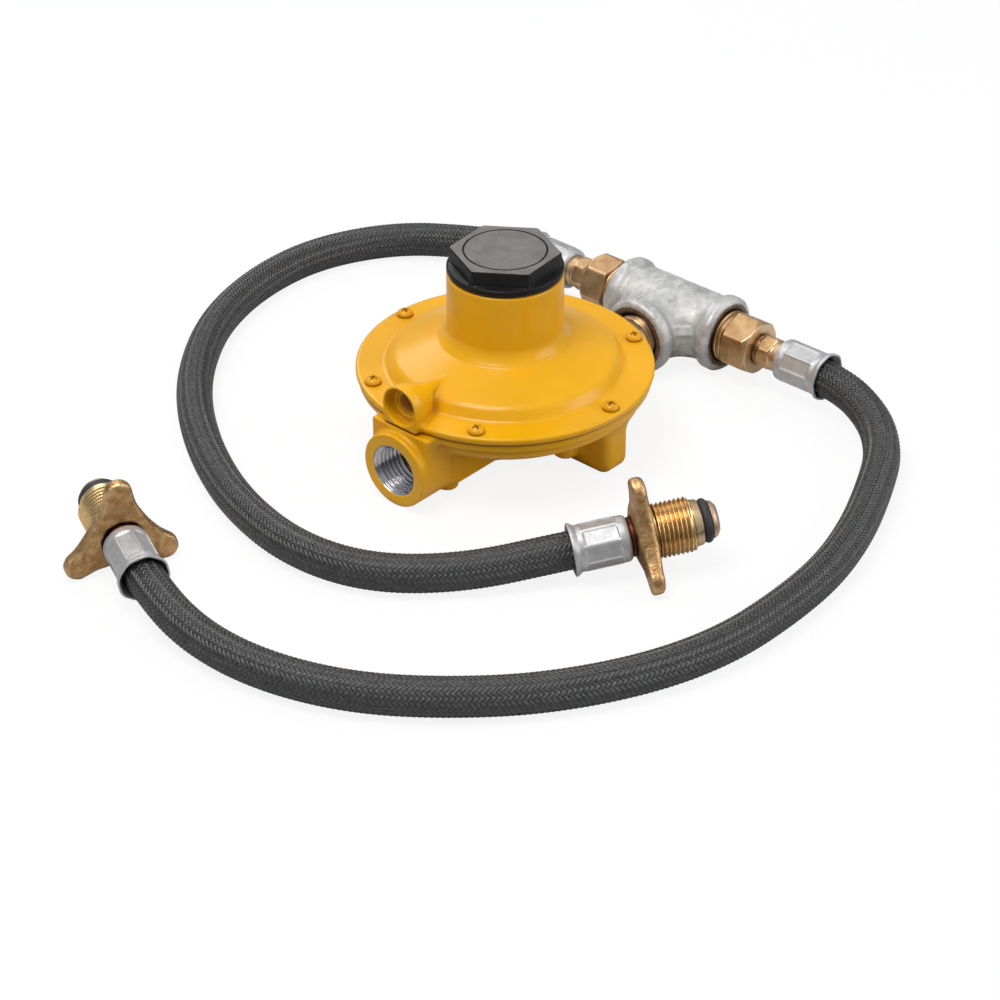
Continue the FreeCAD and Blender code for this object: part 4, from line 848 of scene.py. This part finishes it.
def build_nipple():
    start, end = 47.5, 92.4

    def threads(radius, height, angle):
        here = (height < 63.5) | (height > 76.0)
        wave = 0.75 * thread_wave(height, angle, THREAD_PITCH, 1)
        fade = (1 - smooth_step(height, 62.0, 64.5)) + smooth_step(height, 75.0, 77.5)
        return np.where((radius > 9.5) & here, radius - wave * fade, radius), height

    profile = outline([(7.9, start), (9.9, start, 0.2), (PIPE_THREAD_RADIUS, start + 1.2),
                       (PIPE_THREAD_RADIUS, end - 1.2), (9.9, end, 0.2), (7.9, end)], 0.2)
    made = moved(turned(profile, 96, threads), (TOWER_X, INLET_Y, INLET_HEIGHT), frame_of((1, 0, 0), (0, 1, 0)))
    add_piece("brass_nipple", made, "nipple_brass", "inlet_nipple", sharp=50)


def chamfered(half_flats, low, high, low_slope, high_slope):
    """A shape call that gives the heights from low to high a hexagon with turned-off corners."""
    def shape(radius, height, angle):
        inside = (height >= low - 1e-6) & (height <= high + 1e-6) & (radius > half_flats * 0.8)
        rise = minimum((height - low) / low_slope, (high - height) / high_slope)
        cone = half_flats - 0.3 + maximum(rise, 0)
        side = soft_min(hexagon(half_flats, angle, 0.25), minimum(cone, radius + 5), 0.12)
        return np.where(inside, side, radius), height
    return shape


def hexagon_side(radius, low, high):
    """Outline points up the side of a hexagon, close enough to carry its corners."""
    return [(radius, low)] + [(radius, h) for h in np.arange(low + 0.05, high, 0.25)] + [(radius, high)]


def build_tee_end(letter, direction, turn):
    """Reducing bush, hose tail and ferrule at one end of the tee's run; gives the ferrule's place."""
    axes = frame_of(direction)
    collar, hex_end = TEE_REACH + 5.0, TEE_REACH + 18.5
    bush_flats, tail_flats, bore = 11.5, 7.0, 4.0

    rings = [(bore, 16.0), (PIPE_THREAD_RADIUS, 16.0), (PIPE_THREAD_RADIUS, TEE_REACH + 0.1)]
    for rib in (0, 1):
        low = TEE_REACH + 0.1 + rib * 2.45
        rings += [(11.1, low), (11.65, low + 0.45, 0.2), (11.65, low + 1.75, 0.2), (11.1, low + 2.2)]
    end_face = [(10.9, hex_end), (10.7, hex_end + 0.12), (7.2, hex_end + 0.6), (6.7, hex_end + 0.5),
                (bore, hex_end + 0.5)]
    profile = np.concatenate([outline(rings), hexagon_side(bush_flats, collar, hex_end), end_face])
    made = turned(profile, 192, chamfered(bush_flats, collar, hex_end, 0.55, 1.3))
    add_piece(f"bush_{letter}", moved(spun(made, turn), TEE, axes), "brass", f"reducing_bush_{letter}",
              sharp=32)

    neck_end, nut_end = hex_end + 2.5, hex_end + 9.0
    shank_end = nut_end + 4.7
    rings = [(2.4, hex_end - 8.7), (6.0, hex_end - 8.7), (6.0, hex_end + 0.2), (6.5, hex_end + 0.5, 0.1)]
    for rib in (0, 1):
        low = hex_end + 0.7 + rib * 0.9
        rings += [(6.5, low), (6.1, low + 0.25, 0.1), (6.1, low + 0.5, 0.1), (6.5, low + 0.8)]
    tail = outline([(6.6, nut_end), (6.6, nut_end + 0.8, 0.2), (7.0, nut_end + 1.1, 0.2), (7.0, shank_end),
                    (3.95, shank_end), (3.95, shank_end + 17.0), (2.4, shank_end + 17.0)])
    profile = np.concatenate([outline(rings), hexagon_side(tail_flats, neck_end, nut_end), tail])
    made = turned(profile, 144, chamfered(tail_flats, neck_end, nut_end, 0.9, 0.9))
    add_piece(f"tail_{letter}", moved(spun(made, turn), TEE, axes), "brass", f"hose_tail_{letter}", sharp=32)

    at = np.array(TEE) + axes[2] * (nut_end + 3.5)
    add_piece(f"crimp_tee_{letter}", moved(ferrule_mesh(0.3), at, axes), "plated_steel",
              f"tee_ferrule_{letter}", sharp=50)
    return Vector(at), Vector(axes[2])


# ---- regulator

def bonnet_field(points):
    x, y, z = points.T
    radius = hypot(x, y)
    base = BONNET_BASE
    flange = both(radius - 62.6, between(z, base, FLANGE_TOP), 1.0)
    step = both(side_of(radius, z, (50.0, FLANGE_TOP), (46.8, 43.3)), maximum(
        side_of(radius, z, (46.8, 43.3), (24.3, 52.3)), base - z), 0.9)
    flare = 2.9 * (1 - np.clip((z - 51.5) / 6.0, 0, 1)) ** 2
    tower = both(radius - 24.4 - flare + 0.004 * (z - 50), between(z, base, 81.2), 0.7)
    dome = either(either(flange, step, 1.1), tower, 0.9)
    mouth = -64.5
    back = np.clip(x + 60.0, 0, 22.5)
    half = 9.0 - 0.34 * minimum(back, 9) - 0.75 * np.clip(back - 9, 0, 3.5) - 0.26 * maximum(back - 12.5, 0)
    rise = 9.0 - 0.4 * minimum(back, 11) - 0.2 * maximum(back - 11, 0)
    above = z - VENT_HEIGHT
    ring = hypot(y, above)
    rib = (hypot(y / half, above / rise) - 1) * minimum(half, rise)
    boss = both(rib, between(x, mouth, -37.3), 0.4)
    web = both(abs(y) - half, maximum(between(x, mouth, -46), between(z, base, VENT_HEIGHT)), 0.4)
    solid = either(dome, either(boss, web, 0.35), 1.2)
    slope = side_of(radius, z, (43.8, 40.3), (18.5, 51.4))
    hollow = maximum(radius - 44.0, maximum(slope, 30 - z))
    hollow = minimum(hollow, maximum(radius - 18.55, 30 - z))
    hollow = minimum(hollow, maximum(radius - 20.55, 71.8 - z))
    solid = without(solid, hollow, 0.4)
    vent_hole = minimum(maximum(ring - 5.3, x + 52.4), maximum(ring - 1.6, x + 44.0))
    drop = maximum(hypot(x + 43.6, y) - 1.3, between(z, 30, 44.2))
    solid = without(solid, maximum(ring - 8.1, x + 60.3), 0.35)
    solid = without(solid, minimum(vent_hole, drop), 0.3)
    holes = [hypot(x - SCREW_CIRCLE * math.cos(turn), y - SCREW_CIRCLE * math.sin(turn)) - 2.2
             for turn in SCREW_TURNS]
    return without(solid, np.min(holes, 0), 0.2)


def casing_field(points):
    x, y, z = points.T
    radius = hypot(x, y)
    seam, well, room, floor = 34.6, 21.5, 44.0, 20.4
    flange = both(radius - 61.5, between(z, 31.5, seam), 0.9)
    drum = both(radius - 25.5, between(z, 5.0, seam), 1.5)
    pan = both(maximum(radius - 58.5, z - seam), maximum(
        side_of(radius, z, (25.5, 17.0), (50.0, 21.0)), side_of(radius, z, (50.0, 21.0), (58.5, 27.0))), 1.4)
    bowl = either(either(drum, pan, 3.0), flange, 1.2)
    neck_edge = np.interp(x, [-54.0, -45.0], [8.0, 1.8])
    neck = both(both(abs(y) - 15.5, 5.5 - z, neck_edge),
                maximum(between(x, -64.8, -18.8), z - seam), 1.3)
    mouth_ring = hypot(y, z - OUTLET_HEIGHT)
    collar = both(mouth_ring - 16.4, between(x, OUTLET_FACE, -50.7), 0.9)
    lump = both(hypot(x + 46.0, y + 9.0) - 4.6, between(z, 2.2, 9.0), 1.3)
    lug = both(hypot(x + 0.5, y + 34.0) - 5.6, between(z, 6.4, 24.0), 3.0)
    inlet_ring = hypot(y - INLET_Y, z - INLET_HEIGHT)
    boss = both(inlet_ring - 14.5, between(x, 44.0, 60.0), 0.9)
    web = both(inlet_ring - 9.5, between(x, 5.0, 50.0), 0.5)
    foot_end = both(abs(y) - 52.6, -z, 5.2)
    foot = both(abs(x - 11.65) - 7.25, both(foot_end, maximum(20.0 - abs(y), z - 30.0), 1.0), 3.6)
    solid = either(either(bowl, neck, 2.2), collar, 1.5)
    solid = either(solid, either(boss, web, 2.0), 2.5)
    solid = maximum(either(either(either(solid, foot, 6.0), lug, 5.0), lump, 1.5), -z)
    cavity = maximum(maximum(radius - well, 6.8 - z), z - 40)
    upper = maximum(maximum(radius - room, -side_of(radius, z, (well, floor), (room, 24.4))), floor - z)
    round_inlet = maximum(inlet_ring - 9.5, maximum(well - radius, -x))
    solid = without(solid, maximum(minimum(cavity, upper), -round_inlet), 0.5)
    outlet = maximum(mouth_ring - 11.15, x + 52.7)
    outlet = minimum(outlet, maximum(mouth_ring - 7.5, between(x, -54, 0)))
    solid = without(solid, outlet, 0.5)
    inlet = maximum(inlet_ring - 10.85, 46.0 - x)
    inlet = minimum(inlet, maximum(inlet_ring - 7.6, 34.0 - x))
    inlet = minimum(inlet, maximum(inlet_ring - 5.15, -x))
    return without(solid, inlet, 0.5)


OUTLET_PITCH = 2.31
VENT_PITCH = 0.94


def thread_bore(name, rings, segments, shape, x, height, material, node):
    """A threaded lining in one of the castings, along X."""
    made = moved(turned(np.array(rings)[::-1], segments, shape), (x, 0, height), frame_of((1, 0, 0), UP))
    add_piece(name, made, material, node, sharp=50)


def build_casings():
    step = 0.62
    for name, node, field, low, high in (
            ("bonnet_casting", "bonnet", bonnet_field, (-65, -63, 35), (63, 63, 82)),
            ("casing_casting", "lower_casing", casing_field, (-69, -62, 0), (62, 62, 35))):
        add_piece(name, moved(surface_of(field, low, high, step), TOWER), "casting", node, sharp=None)

    def outlet_thread(radius, height, angle):
        wave = 1.09 * thread_wave(height, angle, OUTLET_PITCH, 1)
        fade = 1 - smooth_step(height, 14.0, 15.8)
        lead = 1.5 * (1 - smooth_step(height, 0.2, 2.0))
        return np.where(radius < 10.5, maximum(radius + wave * fade, radius + lead), radius), height

    rings = [(11.3, 16.0)] + [(9.65, h) for h in np.arange(16.0, 0.25, -0.15)] + [(9.65, 0.25), (11.3, 0.25)]
    thread_bore("outlet_thread_bore", rings, 144, outlet_thread, TOWER_X + OUTLET_FACE, OUTLET_HEIGHT, "bare_zinc",
                "lower_casing")

    def vent_thread(radius, height, angle):
        wave = 0.5 * thread_wave(height, angle, VENT_PITCH, 1)
        return np.where(radius < 4.8, radius + wave, radius), height

    rings = [(5.2, 8.0)] + [(4.3, h) for h in np.arange(8.0, 0.1, -0.12)] + [(4.45, 0.0), (5.2, 0.0)]
    thread_bore("vent_thread_bore", rings, 72, vent_thread, TOWER_X - 59.5, VENT_HEIGHT, "casting", "bonnet")


def build_screws():
    dome = [(r, 2.85 - 1.25 * (r / 3.2) ** 2.3) for r in np.concatenate([[0.001], np.arange(0.15, 2.85, 0.13)])]
    rings = [(0.001, -8.5), (1.9, -8.5), (1.9, 0.02), (3.3, 0.02), (3.48, 0.4), (3.42, 1.0), (3.15, 1.5)]
    rings = np.array(rings + dome[::-1])
    for number, turn in enumerate(SCREW_TURNS, 1):
        at = (TOWER_X + SCREW_CIRCLE * math.cos(turn), SCREW_CIRCLE * math.sin(turn), FLANGE_TOP)
        slot_turn = math.radians(30 * number + 12 * (number - 1))

        def head(radius, height, angle):
            x, y = radius * np.cos(angle - slot_turn), radius * np.sin(angle - slot_turn)
            arm = minimum(maximum(abs(x) - 1.75, abs(y) - 0.42),
                             maximum(abs(y) - 1.75, abs(x) - 0.42))
            dip = 1.3 * (1 - smooth_step(arm, -0.22, 0.24)) * (1 - 0.35 * smooth_step(radius, 0.3, 2.1))
            return radius, np.where(height > 1.0, height - dip, height)

        add_piece(f"pan_screw_{number}", moved(turned(rings, 96, head), at), "screw_paint",
                  f"flange_screw_{number}", sharp=50)


def build_cap():
    """Closing cap: flange, hexagon, plain engraved ring and threaded skirt."""
    low, rim, top = 81.8, 84.6, 90.9
    half = 20.3

    def faceted(radius, height, angle):
        zone = (height > rim + 0.05) & (radius > 18.2)
        return np.where(zone, hexagon(half, angle, 0.22) + radius - half, radius), height

    lower = outline([
        (17.6, 73.8), (20.2, 73.8, 0.3), (20.42, 74.8), (20.42, low), (23.7, low, 0.4), (24.25, low + 0.7, 0.35),
        (24.25, rim - 0.6, 0.45), (23.75, rim, 0.25),
    ])
    upper = outline([
        (20.5, rim + 0.12), (20.32, rim + 0.6), (20.26, top - 0.6, 0.25), (19.85, top, 0.25), (18.6, top),
        (17.62, top, 0.06), (17.42, top - 0.42, 0.06), (16.98, top - 0.42, 0.06), (16.78, top, 0.06), (12.0, top),
        (6.0, top), (0.001, top), (0.001, 86.7), (17.6, 86.7),
    ])
    made = spun(turned(np.concatenate([lower, upper]), 192, faceted), math.radians(5.4))
    piece = add_piece("hexagon_cap", moved(made, TOWER), "cap_plastic", "closing_cap", "cap", 30)
    # The top face gets the lighter copy of the cap plastic: painted light.
    tint(piece, "cap_lit_top", lambda x, y, z: z > top - 0.12)


def bend_with(piece, node):
    """Bakes the piece's place into its mesh and hides the CAD node it stands in for."""
    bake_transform(piece)
    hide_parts(node)


def build_diaphragm():
    profile = outline([
        (3.05, 31.0), (37.5, 31.0, 1.0), (39.5, 31.2, 0.8), (41.0, 32.9, 1.0), (43.4, 34.5, 0.8), (61.45, 34.62, 0.1),
        (61.45, 35.38, 0.1), (43.0, 35.35, 0.8), (40.3, 33.9, 1.0), (38.8, 31.9, 0.8), (37.0, 31.8, 0.8), (3.05, 31.8),
    ])
    skin = add_mesh("diaphragm_skin", moved(turned(profile, 144), TOWER), "diaphragm_rubber", 38.0)
    # The rim in the seam gets the darker seam paint: painted over, and darkened as painted shade.
    tint(skin, "shaded_seam_paint", lambda x, y, z: hypot(x - TOWER_X, y) > 61.0)
    bend_with(skin, "diaphragm")


def build_main_spring():
    """The spring's two halves: the lower one rests on the plate, the upper one under the seat."""
    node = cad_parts["main_spring"]
    points = np.array([node.matrix_world @ vertex.co for vertex in node.data.vertices]) / MM
    faces = [list(face.vertices) for face in node.data.polygons]
    low, high = points[:, 2].min(), points[:, 2].max()
    middle = (low + high) / 2
    upper = [points[face, 2].mean() > middle for face in faces]
    for name, body, wanted, end in (("main_spring_lower", "diaphragm_stack", False, low),
                                    ("main_spring_upper", "adjuster_seat", True, high)):
        chosen = [face for face, above in zip(faces, upper) if above == wanted]
        used = sorted({corner for face in chosen for corner in face})
        place = {old: new for new, old in enumerate(used)}
        made = points[used], [[place[c] for c in face] for face in chosen]
        piece = add_mesh(name, made, "spring_steel", 38.0)
        bend_with(piece, "main_spring")


NODE_FINISH = {
    "brass": ("disc_holder", "inlet_orifice"),
    "grey_plastic": ("adjusting_screw",),
    "rubber": ("cap_seal", "valve_disc"),
    "spring_steel": ("main_spring", "relief_spring"),
    "steel": ("diaphragm_plate", "inlet_filter", "lever", "lever_pin", "pusher_post", "relief_nut", "spring_seat",
              "valve_bracket", "vent_screen"),
}


def finish_nodes():
    for finish, nodes in NODE_FINISH.items():
        for node in nodes:
            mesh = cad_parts[node].data
            mesh.materials.clear()
            mesh.materials.append(MATERIALS[finish])


def build_hose(letter, middle, tee_end):
    """One hose, with a straight lead out of each ferrule before its own points."""
    at, outward = tee_end
    tip, axes = connector_place(letter)
    back = Vector(axes[2])
    begin = at + outward * FERRULE_WALL
    end = Vector(tip) + back * (COLLAR_END + FERRULE_WALL)
    route = [begin, begin + outward * HOSE_LEAD, *middle, end + back * HOSE_LEAD * 0.95, end]
    braided_hose(f"braided_hose_{letter}", f"hose_{letter}", route)


set_camera()
set_stage()
finish_nodes()
connector_pieces = {letter: build_connector(letter) for letter in "ab"}
build_tee()
build_nipple()
tee_end_a = build_tee_end("a", (0, 1, 0), math.radians(50))
tee_end_b = build_tee_end("b", (0, -1, 0), math.radians(28))
build_hose("a", HOSE_A, tee_end_a)
build_hose("b", HOSE_B, tee_end_b)
build_casings()
build_screws()
build_cap()
build_diaphragm()
build_main_spring()
